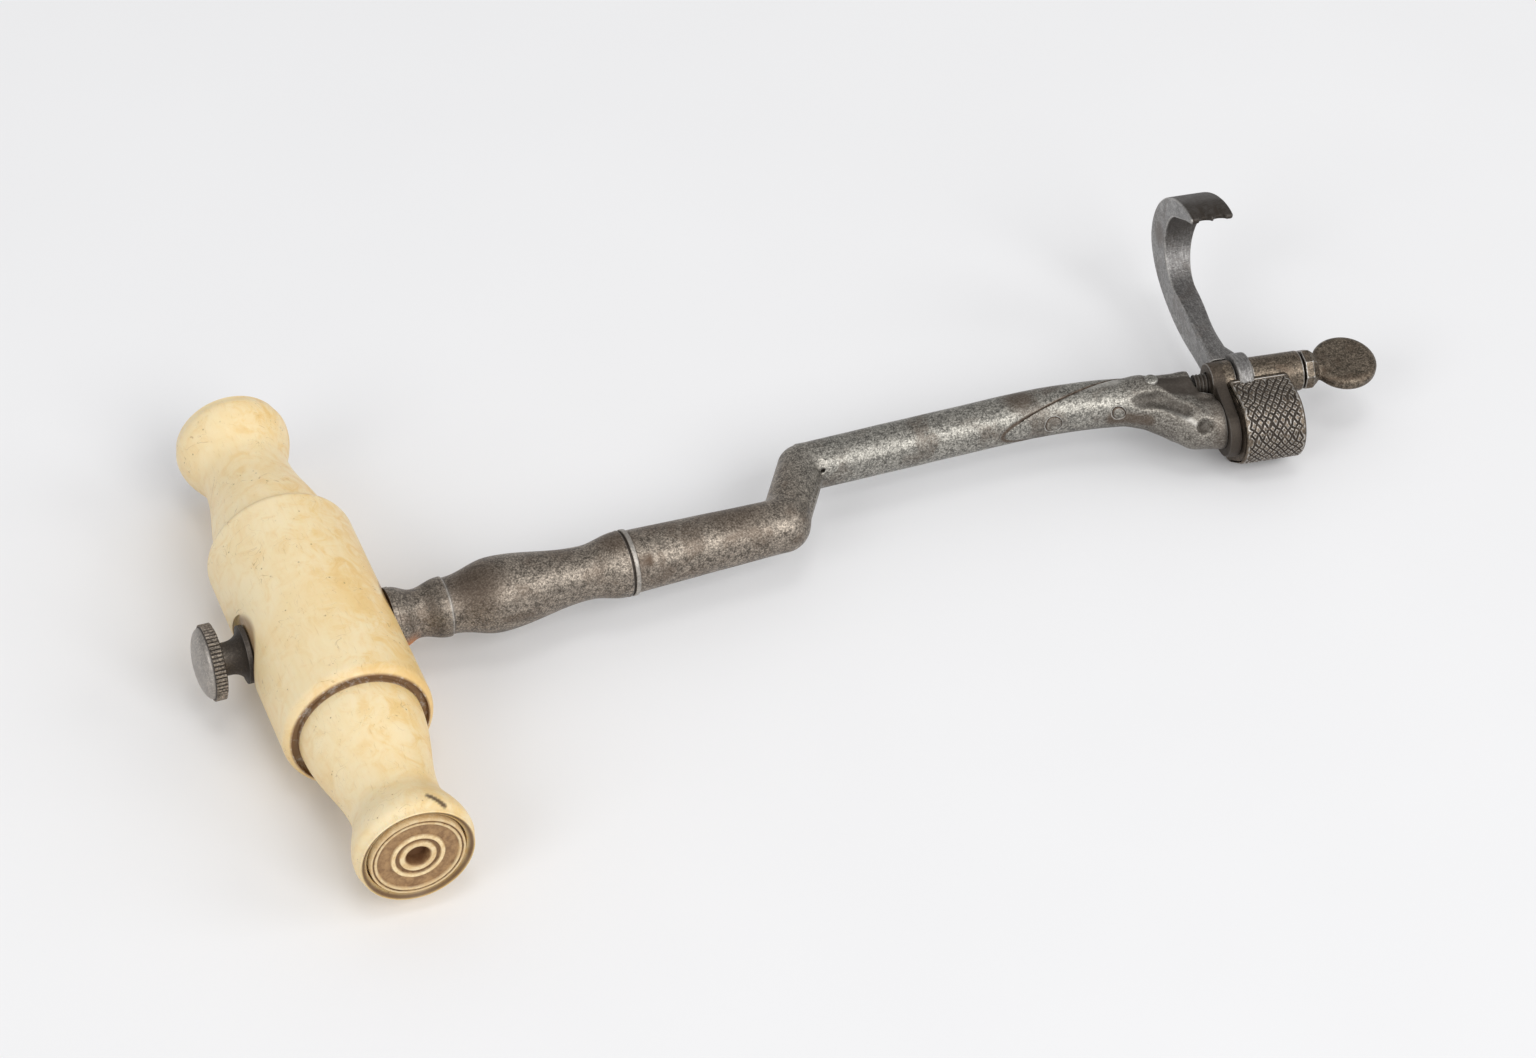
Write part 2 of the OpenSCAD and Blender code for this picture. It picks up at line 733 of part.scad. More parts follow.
module thumb_screw() {
    flare_len = 0.6 * stem_len;
    dome_r = button_r - 0.25;
    color(steel) placed() mirror([1, 0, 0]) {
        rod(foot_x - thread_len, foot_x + eps, thread_r);
        turned_x(concat(
            [[0, foot_x], [foot_r, foot_x], [foot_r, foot_x + foot_t]],
            arc([foot_r, foot_x + foot_t + flare_len], foot_r - stem_r, flare_len, -90, -180),
            [[stem_r, button_back + eps], [0, button_back + eps]]));
        translate([button_back, 0, 0]) rotate([0, 90, 0]) linear_extrude(button_rim) knurled_disc();
        turned_x(concat(
            [[0, button_back + button_rim - eps], [dome_r, button_back + button_rim - eps]],
            arc([0, button_back + button_rim], dome_r, button_dome, 0, 90)));
    }
}

handle_barrel();
grip_end_near();
grip_end_far();
end_plug_near();
end_plug_far();
shank();
bit_arm();
splice_rivet_large();
splice_rivet_small();
arm_pin();
bolster();
claw();
claw_screw();
thumb_screw();
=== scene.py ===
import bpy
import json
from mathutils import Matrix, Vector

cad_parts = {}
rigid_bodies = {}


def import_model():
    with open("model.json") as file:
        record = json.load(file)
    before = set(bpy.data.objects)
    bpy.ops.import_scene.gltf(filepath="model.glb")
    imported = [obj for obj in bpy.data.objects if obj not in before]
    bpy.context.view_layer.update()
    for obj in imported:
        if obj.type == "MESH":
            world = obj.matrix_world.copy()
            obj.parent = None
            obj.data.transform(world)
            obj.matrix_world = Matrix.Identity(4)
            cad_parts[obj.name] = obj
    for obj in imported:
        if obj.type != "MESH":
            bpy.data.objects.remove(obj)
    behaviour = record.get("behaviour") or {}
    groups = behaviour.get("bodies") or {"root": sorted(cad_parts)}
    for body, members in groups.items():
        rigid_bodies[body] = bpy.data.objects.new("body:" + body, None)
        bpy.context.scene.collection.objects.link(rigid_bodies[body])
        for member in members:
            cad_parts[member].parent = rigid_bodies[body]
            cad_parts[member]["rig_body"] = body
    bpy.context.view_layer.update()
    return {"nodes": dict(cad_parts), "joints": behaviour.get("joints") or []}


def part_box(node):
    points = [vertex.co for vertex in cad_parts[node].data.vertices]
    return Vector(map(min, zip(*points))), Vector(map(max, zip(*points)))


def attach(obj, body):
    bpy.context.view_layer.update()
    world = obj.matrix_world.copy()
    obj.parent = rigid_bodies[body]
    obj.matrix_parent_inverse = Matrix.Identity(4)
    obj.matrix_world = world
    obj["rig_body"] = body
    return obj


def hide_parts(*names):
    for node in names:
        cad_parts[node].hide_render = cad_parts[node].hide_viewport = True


bl_info = {
    "name": "Dental key",
    "version": (1, 0, 0),
    "blender": (4, 5, 0),
    "location": "View3D > Sidebar > Dental key",
    "description": "Builds an old dental key with a bone handle and a forged steel shank",
    "category": "Add Mesh",
}

import json
import math
import bmesh
import bpy
import numpy as np
from bpy.props import FloatProperty, FloatVectorProperty, IntProperty, PointerProperty
from mathutils import Matrix, Vector

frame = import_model()

# Shapes are worked out in millimetres and placed in metres
MM = 0.001

# The handle's axis crosses the shank's axis here
low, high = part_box("handle_barrel")
HANDLE = (low + high) / 2
BARREL_R = (high.z - low.z) / 2 / MM
BARREL_HALF = (high.y - low.y) / 2 / MM
HALF_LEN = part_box("grip_end_far")[1].y / MM

# The claw's pivot, from its joint
SWING = next(joint for joint in frame["joints"] if joint["name"] == "claw_swing")
PIVOT = Vector(SWING["pos_m"])
YAW = math.atan2(-SWING["axis"][1], SWING["axis"][0])

# From the handle's frame and from the pivot's frame to the object's
FIT = Matrix.Translation(HANDLE) @ Matrix.Scale(MM, 4)
BIT = Matrix.Translation(PIVOT) @ Matrix.Rotation(-YAW, 4, "Z") @ Matrix.Scale(MM, 4)
PIVOT_FIT = (PIVOT - HANDLE) / MM
ALONG_Y = FIT @ Matrix.Rotation(-math.pi / 2, 4, "X")
ALONG_X = FIT @ Matrix.Rotation(math.pi / 2, 4, "Y")

# The shank, the bar's curve and the splice, in the handle's frame
CRANK_X, CRANK_TOP, THROW = 62.4, 68.2, 9.6
BAR_R, BAR_END_R, OFFSET_R = 4.02, 3.47, 3.2
BEAD, COLLAR, BAR_FROM, TURNED_END = 16.5, 40.1, 42.65, 50.0
CURVE_X, CURVE_R, CURVE_ANGLE = 98.0, 64.0, math.radians(16)
SPLICE_X, SPLICE_LEN, SPLICE_ANGLE = 95.2, 20.0, math.radians(9.7)
RIVETS = {"large": (102.8, 0.3, 1.1), "small": (111.4, 0.8, 0.8)}

# The bolster, the arm's end and the claw, in the pivot's frame
PAD_ROUNDS = [(-6.3, -2.9, 4.9), (-4.4, -6.2, 3.4), (-2.7, 0.3, 1.7)]
PAD_FROM, PAD_TO = -2.6, 5.98
BOSS_FROM, LUG_FROM, LUG_TO = -4.55, 1.2, 8.4
ARM_FACE = -4.35
PIN = (-13.1, -1.1)
CREASE = ((-15.6, -4.2, 2.6), (-12.4, -4.0, 2.2), (-9.7, -6.0, 1.5))
LEAF_TURN = math.radians(7)
CLAW_SIDE, TOOTH_PITCH = -3.1, 6.15 / 3


# ---- properties

def a_length(name, description, millimetres):
    return FloatProperty(name=name, description=description, default=millimetres * MM, unit="LENGTH")


def a_colour(name, description, *default):
    return FloatVectorProperty(name=name, description=description, default=default, subtype="COLOR")


class KeySizes(bpy.types.PropertyGroup):
    grip_root: a_length("Grip root", "Radius of a grip end at the barrel", 7.8)
    grip_waist: a_length("Grip waist", "Smallest radius of a grip end", 5.7)
    grip_flare: a_length("Grip flare", "Largest radius of a grip end's flare", 7.47)
    joint_groove: a_length("Joint groove", "Width of the groove beside the barrel", 0.9)
    knurl_pitch: a_length("Knurl pitch", "Distance between the pad's cut lines", 0.84)
    knurl_depth: a_length("Knurl depth", "Depth of the pad's cut lines", 0.18)
    ridges: IntProperty(name="Ridges", description="Ridges on the thumb screw's rim", default=56)
    button: a_length("Button radius", "Radius of the thumb screw's button", 4.85)


class KeyColours(bpy.types.PropertyGroup):
    bone: a_colour("Bone", "Clean part of the bone", 0.83, 0.70, 0.45)
    bone_amber: a_colour("Amber bone", "Yellowed part of the bone", 0.775, 0.535, 0.21)
    bone_stain: a_colour("Bone stain", "Brown stain in the bone's grooves", 0.13, 0.065, 0.025)
    steel: a_colour("Steel", "Mottled middle tone of the shank", 0.275, 0.237, 0.197)
    bright_steel: a_colour("Bright steel", "Cleaner tone past the crank", 0.30, 0.287, 0.257)
    brown_steel: a_colour("Browned steel", "Patina of the bolster", 0.168, 0.137, 0.105)
    claw_steel: a_colour("Claw steel", "Filed steel of the claw", 0.275, 0.268, 0.262)
    rust: a_colour("Rust", "Orange rust at the shank's base", 0.50, 0.19, 0.06)
    brown: a_colour("Brown", "Brown patches and lines on the steel", 0.085, 0.055, 0.036)
    # Also the colour of painted shade in hollows, creases and undersides
    grime_and_shade: a_colour("Grime", "Dark brown film in sheltered places", 0.042, 0.033, 0.026)


# ---- shading

def maths(operation):
    """A method that makes a maths node from its socket and the values it is given."""
    return lambda *values: values[0].tree.maths(operation, *values)


class Socket:
    """An output of a node tree that can take part in a sum."""

    def __init__(self, tree, out):
        self.tree = tree
        self.out = out

    __add__ = __radd__ = maths("ADD")
    __mul__ = __rmul__ = maths("MULTIPLY")
    __sub__ = maths("SUBTRACT")
    __truediv__ = maths("DIVIDE")
    __abs__ = maths("ABSOLUTE")
    at_most = maths("MINIMUM")
    at_least = maths("MAXIMUM")
    root = maths("SQRT")
    fraction = maths("FRACT")

    def __rsub__(self, other):
        return self.tree.maths("SUBTRACT", other, self)

    def __neg__(self):
        return self * -1.0

    def rise(self, low, high):
        """0 below low, 1 above high, and a smooth rise between."""
        return self.tree.out("ShaderNodeMapRange", {"interpolation_type": "SMOOTHSTEP"},
                             {"Value": self, "From Min": low, "From Max": high})


class Tree:
    """Makes the nodes of one tree, of a material or of geometry nodes."""

    def __init__(self, nodes):
        self.nodes = nodes

    def node(self, kind, settings=None, values=None):
        made = self.nodes.nodes.new(kind)
        for name, value in (settings or {}).items():
            setattr(made, name, value)
        for name, value in (values or {}).items():
            socket = made.inputs[name]
            if isinstance(value, Socket):
                self.nodes.links.new(value.out, socket)
            elif socket.type == "RGBA" and len(value) == 3:
                socket.default_value = (*value, 1.0)
            else:
                socket.default_value = value
        return made

    def out(self, kind, settings=None, values=None, output=0):
        return Socket(self, self.node(kind, settings, values).outputs[output])

    def maths(self, operation, *values):
        return self.out("ShaderNodeMath", {"operation": operation}, dict(enumerate(values)))


class Finish(Tree):
    """A material on a Principled shader, with its places in millimetres."""

    def __init__(self, name):
        self.material = bpy.data.materials.new(name)
        self.material.use_nodes = True
        super().__init__(self.material.node_tree)
        self.nodes.nodes.clear()
        place = self.out("ShaderNodeTexCoord", output="Object")
        self.place = self.out("ShaderNodeVectorMath", {"operation": "SCALE"},
                              {0: place, "Scale": 1 / MM})
        parts = self.node("ShaderNodeSeparateXYZ", values={0: self.place})
        self.x, self.y, self.z = (Socket(self, out) for out in parts.outputs)

    def attribute(self, name):
        return self.out("ShaderNodeAttribute", {"attribute_name": name}, output="Fac")

    def stretched(self, scale, turn=(0, 0, 0)):
        return self.out("ShaderNodeMapping", values={"Vector": self.place, "Rotation": turn,
                                                     "Scale": scale})

    def noise(self, scale, detail, roughness=0.55, place=None, distortion=0.0):
        return self.out("ShaderNodeTexNoise", values={
            "Vector": place or self.place, "Scale": scale, "Detail": detail,
            "Roughness": roughness, "Distortion": distortion})

    def cells(self, scale):
        return self.out("ShaderNodeTexVoronoi", values={"Vector": self.place, "Scale": scale})

    def mix(self, factor, a, b):
        return self.out("ShaderNodeMix", {"data_type": "RGBA"},
                        {"Factor": factor, 6: a, 7: b}, output=2)

    def bump(self, height, distance, strength):
        return self.out("ShaderNodeBump", values={"Height": height, "Distance": distance * MM,
                                                  "Strength": strength})

    def layered(self, colour, *layers):
        """A colour under (amount, colour) layers, one after another."""
        for amount, tone in layers:
            colour = self.mix(amount, colour, tone)
        return colour

    def from_handle(self):
        """Places across and up from the handle's axis, and the distance from it."""
        across, up = self.x + -HANDLE.x / MM, self.z + -HANDLE.z / MM
        return across, up, (across * across + up * up).root()

    def finish(self, **values):
        """Links or sets the shader's sockets and ends the material."""
        shader = self.out("ShaderNodeBsdfPrincipled",
                          values={name.replace("_", " "): value for name, value in values.items()})
        self.node("ShaderNodeOutputMaterial", values={"Surface": shader})
        return self.material


def bone_finish(colours):
    """Turned bone, cream to amber, with fine grain and brown stain in its joints."""
    f = Finish("aged_bone")
    clouds = f.noise(0.08, 4.0, 0.6, distortion=0.9)
    wisps = f.noise(0.3, 4.0, 0.65, distortion=1.1)
    grain = f.noise(1.0, 4.0, 0.6, place=f.stretched((1.5, 0.1, 1.5)))
    dashes = f.noise(1.0, 3.0, 0.6, place=f.stretched((3.2, 0.35, 3.2))).rise(0.6, 0.75)
    few = f.noise(0.21, 2.0).rise(0.45, 0.6)
    cracks = (1 - abs(f.noise(0.22, 2.0, 0.5, distortion=2.2) - 0.5).rise(0.001, 0.005)) * few
    specks = (1 - f.cells(0.75).rise(0.05, 0.12)) * few
    dust = f.noise(1.1, 3.0, 0.7).rise(0.5, 0.68)
    ochre, tan, umber, dark_brown = ((0.70, 0.43, 0.13), (0.42, 0.24, 0.10), (0.30, 0.17, 0.07),
                                     (0.20, 0.10, 0.04))
    groove_brown, groove_dust = (0.22, 0.12, 0.055), (0.50, 0.44, 0.38)

    # The side towards the claw has yellowed most; the extra amber on the underside is painted shade
    across, up, out = f.from_handle()
    side, low = across.rise(-5.0, 9.0), 1 - up.rise(-7.0, 5.0)
    cloudy = (clouds * 0.55 + wisps * 0.45).rise(0.38, 0.6)
    amber_and_shade = cloudy * (0.25 + 0.55 * side) + 0.22 * side + 0.6 * low

    # Brown in the barrel's joints, reaching a little further at the far one, and an amber band on the
    # barrel's rim beside each
    along = abs(f.y)
    reach = along - 0.92 * f.y.rise(-1.0, 1.0)
    joint = (along.rise(BARREL_HALF - 1.15, BARREL_HALF - 0.95)
             * (1 - reach.rise(BARREL_HALF - 0.1, BARREL_HALF + 0.12)))
    groove = joint * (1 - out.rise(BARREL_R - 0.9, BARREL_R - 0.55))
    shoulder = ((1 - abs(along - (BARREL_HALF - 0.5)).rise(0.1, 1.1))
                * out.rise(BARREL_R - 1.2, BARREL_R - 0.9))

    # Stain round the seats of shank and screw, with painted shade in the seats' recesses, and stain round
    # the end discs
    seat = (f.y * f.y + up * up).root()
    rim = (1 - seat.rise(4.3, 5.2)) * abs(across).rise(7.2, 8.2)
    ends = along.rise(HALF_LEN - 0.7, HALF_LEN - 0.25) * (1 - out.rise(6.75, 7.1))

    colour = f.layered(
        colours.bone,
        (amber_and_shade.at_most(0.95), colours.bone_amber),
        (wisps.rise(0.48, 0.74) * (0.25 + 0.25 * side), ochre),
        (grain.rise(0.45, 0.8) * 0.2, colours.bone_amber),
        (dashes * 0.2, tan),
        (cracks * 0.45, umber),
        (specks * 0.55, colours.bone_stain),
        (shoulder * (0.12 + 0.5 * wisps), (0.64, 0.42, 0.16)),
        (groove * 0.95, f.mix(dust * 0.7, groove_brown, groove_dust)),
        ((rim * (0.45 + 0.6 * grain)).at_most(0.95), dark_brown),
        (ends * (0.85 + 0.2 * wisps), (0.115, 0.058, 0.022)),
        (f.attribute("stain"), (0.06, 0.03, 0.015)))
    height = grain * 0.4 - dashes * 0.25 - specks * 0.6 - cracks * 0.5
    return f.finish(Base_Color=colour, Roughness=0.30 + 0.16 * grain + 0.2 * groove,
                    Normal=f.bump(height, 0.05, 0.5), Subsurface_Weight=0.12,
                    Subsurface_Radius=(0.0016, 0.0009, 0.0004), Specular_IOR_Level=0.42)


def plug_finish(colours):
    """The end disc: pale turned rings on brown, by their distance from its middle."""
    f = Finish("ringed_bone")
    rough = f.noise(0.9, 4.0, 0.65)
    wobble = f.from_handle()[2] + 0.25 * (rough - 0.5)
    brown = f.mix(rough.rise(0.3, 0.7), (0.19, 0.10, 0.04), (0.36, 0.215, 0.095))
    pale = f.mix(rough.rise(0.35, 0.7), (0.80, 0.64, 0.38), (0.62, 0.42, 0.2))

    def ring(start, end, soft=0.14):
        return wobble.rise(start - soft, start + soft) * (1 - wobble.rise(end - soft, end + soft))

    pale_rings = ring(1.65, 2.28) * 0.9 + ring(2.82, 3.35) + ring(5.05, 5.4) * 0.8 + ring(5.62, 6.2) * 0.8
    dark_rings = ring(5.44, 5.58, 0.06) * 0.8 + ring(2.4, 2.75, 0.1) * 0.6
    hole = 1 - wobble.rise(1.3, 1.6)
    colour = f.layered(brown, (pale_rings.at_most(1.0), pale), (dark_rings, colours.bone_stain),
                       (hole * 0.85, (0.12, 0.05, 0.02)))
    return f.finish(Base_Color=colour, Roughness=0.42 + 0.2 * rough,
                    Normal=f.bump(rough, 0.06, 0.5), Specular_IOR_Level=0.4)


def steel_finish(name, base, colours, brown, scratches=1.0, grain=1.0, streaks=0.0, shank=False):
    """Old steel: fine mottled patina, brown patches, hollows darkened with grime and painted shade, worn
    edges, and light marks of wear and painted highlight.
    """
    f = Finish(name)
    edge = f.attribute("edge")
    speckle = f.noise(4.0, 2.0, 0.75)
    mottle = f.noise(1.5, 4.0, 0.7)
    blotch = f.noise(0.19, 3.0, 0.6, distortion=0.8)
    pits = f.noise(1.9, 3.0, 0.75).rise(0.62, 0.74)
    file_marks = f.noise(1.0, 2.0, 0.6, place=f.stretched((0.6, 9.0, 9.0), (0, 0, 0.12)))
    pit_dark, bare, bare_and_highlight = (0.03, 0.024, 0.02), (0.62, 0.60, 0.57), (0.62, 0.6, 0.56)

    def tones(factor):
        """The base tone times a factor, brighter past the crank on the shank."""
        near, far = (tuple(c * factor for c in tone) for tone in (base, colours.bright_steel))
        return f.mix(f.x.rise(-6.0, 6.0), near, far) if shank else near

    def marks(attribute, least, most):
        """An attribute of the mesh, broken up by the mottling."""
        return (f.attribute(attribute) * (least + most * mottle)).at_most(1.0)

    grains = speckle.rise(0.5, 0.66) * (0.25 + mottle.rise(0.35, 0.65))
    layers = [((speckle * 0.5 + mottle * 0.5).rise(0.38, 0.56), tones(1.0)),
              (grains.at_most(0.9), tones(1 + 0.75 * grain))]
    if streaks:
        # Long strokes of the file, some bright and some dark
        strokes = f.noise(1.0, 4.0, 0.7, place=f.stretched((5.0, 0.5, 0.9), (0.25, 0, 0.35)))
        layers += [(strokes.rise(0.54, 0.68) * streaks, tones(2.1)),
                   ((1 - strokes.rise(0.32, 0.45)) * streaks, tones(0.35))]
    patches = blotch.rise(0.47, 0.64) * (0.35 + 0.65 * mottle.rise(0.35, 0.55)) * brown
    patches = patches.at_least(marks("brown", 0.55, 0.9))
    worn = edge.rise(0.9, 2.4) * (0.3 + 0.7 * mottle)
    # Grime together with painted shade, as each piece stores it
    grime_and_shade = marks("grime_and_shade", 0.7, 0.6)
    polish = f.attribute("polish")
    layers += [(patches.at_most(0.92), colours.brown), (pits * 0.5, pit_dark),
               # Concave places: grime together with painted shade
               ((-edge).rise(0.35, 1.8) * 0.75, colours.grime_and_shade), (worn.at_most(0.75), bare),
               # Light marks: worn metal together with painted highlights
               (grime_and_shade, colours.grime_and_shade), (marks("wear_and_highlight", 0.25, 1.5), bare_and_highlight),
               (polish * 0.4, (0.55, 0.53, 0.51))]
    rough = 0.27 + 0.16 * speckle + 0.16 * mottle + 0.16 * pits + 0.15 * grime_and_shade + 0.1 * patches
    metal = 0.95 - 0.35 * pits - 0.35 * grime_and_shade - 0.2 * patches
    if shank:
        # An orange spot where the shank meets the bone
        rust = marks("rust", 0.45, 1.1)
        layers.append((rust, colours.rust))
        rough, metal = rough + 0.3 * rust, metal - 0.7 * rust
    height = speckle * 0.5 + mottle * 0.4 - pits * 0.5 + file_marks * 0.3 * scratches
    height = height * (1 - 0.5 * polish)
    return f.finish(Base_Color=f.layered(tones(1 - 0.64 * grain), *layers),
                    Roughness=rough.at_most(0.85), Metallic=metal, Normal=f.bump(height, 0.06, 0.9))


def floor_finish():
    f = Finish("pale_floor")
    paper = f.noise(0.02, 2.0)
    colour = f.mix(paper, (0.80, 0.80, 0.81), (0.83, 0.83, 0.84))
    return f.finish(Base_Color=colour, Roughness=0.65, Specular_IOR_Level=0.2)


FINISHES = {
    "bone": bone_finish,
    "stained_bone": plug_finish,
    "dark_steel": lambda c: steel_finish("forged_steel", c.steel, c, 0.5, shank=True),
    "brown_steel": lambda c: steel_finish("browned_steel", c.brown_steel, c, 0.6),
    "claw_steel": lambda c: steel_finish("filed_steel", c.claw_steel, c, 0.3, scratches=2.4, grain=0.6,
                                         streaks=0.5),
}
made_finishes = {}


def finish_for(slot):
    if slot not in made_finishes:
        made_finishes[slot] = FINISHES[slot](bpy.context.scene.key_colours)
    return made_finishes[slot]


# ---- turned shapes

def arc(centre, radii, start, end, count):
    """Points on an ellipse from one angle to another, in degrees."""
    angles = [math.radians(start + (end - start) * i / count) for i in range(count + 1)]
    return [(centre[0] + radii[0] * math.cos(a), centre[1] + radii[1] * math.sin(a)) for a in angles]


def swell(p, q, count):
    """A smooth swell between two turned radii, as (radius, place) points after the first."""
    return [(p[0] + (q[0] - p[0]) * (1 - math.cos(math.pi * i / count)) / 2,
             p[1] + (q[1] - p[1]) * i / count) for i in range(1, count + 1)]


def turned(profile, segments, open_end=False):
    """Vertices and faces of a solid turned about Z from (radius, height) points."""
    verts, faces = [(0, 0, profile[0][1])], []
    for radius, height in profile:
        verts += [(radius * math.cos(2 * math.pi * s / segments),
                   radius * math.sin(2 * math.pi * s / segments), height) for s in range(segments)]
    rings = len(profile)
    for s in range(segments):
        after = (s + 1) % segments
        faces.append((0, 1 + after, 1 + s))
        for r in range(rings - 1):
            a, b = 1 + r * segments + s, 1 + r * segments + after
            faces.append((a, b, b + segments, a + segments))
    if not open_end:
        verts.append((0, 0, profile[-1][1]))
        last = 1 + (rings - 1) * segments
        faces += [(last + s, last + (s + 1) % segments, len(verts) - 1) for s in range(segments)]
    return verts, faces


# ---- forged shapes
# Each is a distance field: below zero inside, in millimetres.

def norm(*parts):
    """A vector's length."""
    return np.sqrt(sum(part ** 2 for part in parts))


def between(value, start, end):
    """Below zero from start to end."""
    return np.maximum(start - value, value - end)


def rotated(x, y, angle):
    """Places in a frame that is turned by an angle."""
    c, s = math.cos(angle), math.sin(angle)
    return x * c + y * s, y * c - x * s


def ball(p, centre, radius):
    return norm(*(p[i] - centre[i] for i in range(3))) - radius


def bar_between(p, a, b, r1, r2):
    """A round-ended bar from a to b with two radii."""
    ab = [b[i] - a[i] for i in range(3)]
    along = sum((p[i] - a[i]) * ab[i] for i in range(3)) / sum(c * c for c in ab)
    along = np.clip(along, 0, 1)
    return norm(*(p[i] - a[i] - along * ab[i] for i in range(3))) - (r1 + (r2 - r1) * along)


def rod_x(p, start, end, radius):
    """A flat-ended rod along X."""
    return np.maximum(norm(p[1], p[2]) - radius, between(p[0], start, end))


def join(a, b, soft):
    """Both shapes, with a fillet as wide as soft."""
    h = np.clip(0.5 + 0.5 * (b - a) / soft, 0, 1)
    return b + (a - b) * h - soft * h * (1 - h)


def cut(a, b, soft):
    """a without b, with the edge rounded as wide as soft."""
    return -join(-a, b, soft)


def keep(a, b, soft):
    """What a and b share, with the edge rounded as wide as soft."""
    return -join(-a, -b, soft)


def outline_field(y, z, points):
    """Distance to a closed outline in the plane."""
    best, inside = np.inf, np.zeros(np.broadcast(y, z).shape, bool)
    for (y1, z1), (y2, z2) in zip(points, points[1:] + points[:1]):
        dy, dz = y2 - y1, z2 - z1
        t = np.clip(((y - y1) * dy + (z - z1) * dz) / (dy * dy + dz * dz + 1e-12), 0, 1)
        best = np.minimum(best, (y - y1 - t * dy) ** 2 + (z - z1 - t * dz) ** 2)
        crosses = ((z1 > z) != (z2 > z)) & (y < dy * (z - z1) / (dz if dz else 1e-12) + y1)
        inside ^= crosses
    return np.where(inside, -1, 1) * np.sqrt(best)


def hammered(p, size, depth, seed):
    """Soft unevenness of hand work, as a small change of distance."""
    rng = np.random.default_rng(seed)
    total = 0
    for _ in range(6):
        wave = rng.normal(size=3) / size
        total = total + np.sin(p[0] * wave[0] + p[1] * wave[1] + p[2] * wave[2] + rng.uniform(0, 6.28))
    return total * depth / 6


def skinned(field, low, high, cell):
    """Vertices and faces of a field's zero surface, one vertex in each crossed cell."""
    count = [int(math.ceil((high[i] - low[i]) / cell)) + 1 for i in range(3)]
    axes = [(low[i] + cell * np.arange(count[i])).reshape([-1 if k == i else 1 for k in range(3)])
            for i in range(3)]
    values = np.broadcast_to(field(axes), count).astype(np.float32)
    inside = values < 0
    total = np.zeros([c - 1 for c in count] + [3], np.float32)
    hits = np.zeros([c - 1 for c in count], np.int16)
    quads, steps = [], np.eye(3, dtype=int)
    for axis in range(3):
        first = [slice(0, -1) if k == axis else slice(None) for k in range(3)]
        second = [slice(1, None) if k == axis else slice(None) for k in range(3)]
        a, b = values[tuple(first)], values[tuple(second)]
        at = np.argwhere(inside[tuple(first)] != inside[tuple(second)])
        va, vb = a[tuple(at.T)], b[tuple(at.T)]
        point = at.astype(np.float32)
        point[:, axis] += va / (va - vb)
        sides = [k for k in range(3) if k != axis]
        for du in (0, 1):
            for dv in (0, 1):
                beside = at - du * steps[sides[0]] - dv * steps[sides[1]]
                good = np.all((beside >= 0) & (beside < np.array(hits.shape)), axis=1)
                np.add.at(total, tuple(beside[good].T), point[good])
                np.add.at(hits, tuple(beside[good].T), 1)
        quads.append((axis, sides, at, va < 0))
    active = np.argwhere(hits > 0)
    index = np.full(hits.shape, -1, np.int64)
    index[tuple(active.T)] = np.arange(len(active))
    verts = total[tuple(active.T)] / hits[tuple(active.T)][:, None] * cell + np.array(low)
    faces = []
    for axis, sides, at, starts_inside in quads:
        corners = []
        for du, dv in ((0, 0), (1, 0), (1, 1), (0, 1)):
            beside = at - du * steps[sides[0]] - dv * steps[sides[1]]
            corners.append(index[tuple(beside.T)])
        quad = np.stack(corners, 1)
        flip = starts_inside if axis == 1 else ~starts_inside
        quad[flip] = quad[flip][:, ::-1]
        faces.append(quad)
    verts = settled(field, verts.astype(np.float64), cell)
    return verts, np.concatenate(faces)


def settled(field, verts, cell):
    """Moves the vertices onto the field's zero surface along its slope."""
    step = cell * 0.25
    for _ in range(3):
        slope = np.zeros_like(verts)
        for i, shift in enumerate(step * np.eye(3)):
            slope[:, i] = (field((verts + shift).T) - field((verts - shift).T)) / (2 * step)
        steep = np.maximum((slope ** 2).sum(1), 0.25)
        move = -(field(verts.T) / steep)[:, None] * slope
        verts = verts + np.clip(move, -cell * 0.6, cell * 0.6)
    return verts


# ---- pieces

def mesh_from(name, shape, matrix):
    """A mesh from (vertices, faces), placed by a matrix, in metres."""
    verts, faces = shape
    m = np.array(matrix)
    points = np.array(verts, np.float64) @ m[:3, :3].T + m[:3, 3]
    sizes = [len(face) for face in faces]
    mesh = bpy.data.meshes.new(name)
    mesh.vertices.add(len(points))
    mesh.vertices.foreach_set("co", points.astype(np.float32).ravel())
    mesh.loops.add(sum(sizes))
    mesh.loops.foreach_set("vertex_index", np.concatenate(faces).tolist())
    mesh.polygons.add(len(sizes))
    mesh.polygons.foreach_set("loop_start", np.cumsum([0] + sizes[:-1]).tolist())
    mesh.update(calc_edges=True)
    mesh.validate()
    return mesh


def read(items, name, width=3, kind=float):
    """One value of every item, as the rows of an array."""
    values = np.zeros(len(items) * width, kind)
    items.foreach_get(name, values)
    return values.reshape(-1, width)


def mark_edges(mesh, share=1.0):
    """Stores how sharply each point is bent outwards, in 1/mm, for worn edges and for hollows darkened with
    grime and painted shade.
    """
    count = len(mesh.vertices)
    co = read(mesh.vertices, "co") / MM
    normals = read(mesh.vertex_normals, "vector")
    a, b = read(mesh.edges, "vertices", 2, np.int64).T
    lengths = ((co[a] - co[b]) ** 2).sum(1)
    near = np.maximum(np.bincount(a, minlength=count) + np.bincount(b, minlength=count), 1)

    def mean(value):
        return (np.bincount(a, value[b], count) + np.bincount(b, value[a], count)) / near

    middle = np.stack([mean(co[:, i]) for i in range(3)], 1)
    size = (np.bincount(a, lengths, count) + np.bincount(b, lengths, count)) / near
    bend = 2 * ((co - middle) * normals).sum(1) / np.maximum(size, 1e-4)
    bend = np.clip(bend, -4, 4)
    for _ in range(2):
        bend = 0.5 * bend + 0.5 * mean(bend)
    store(mesh, "edge", bend * share)


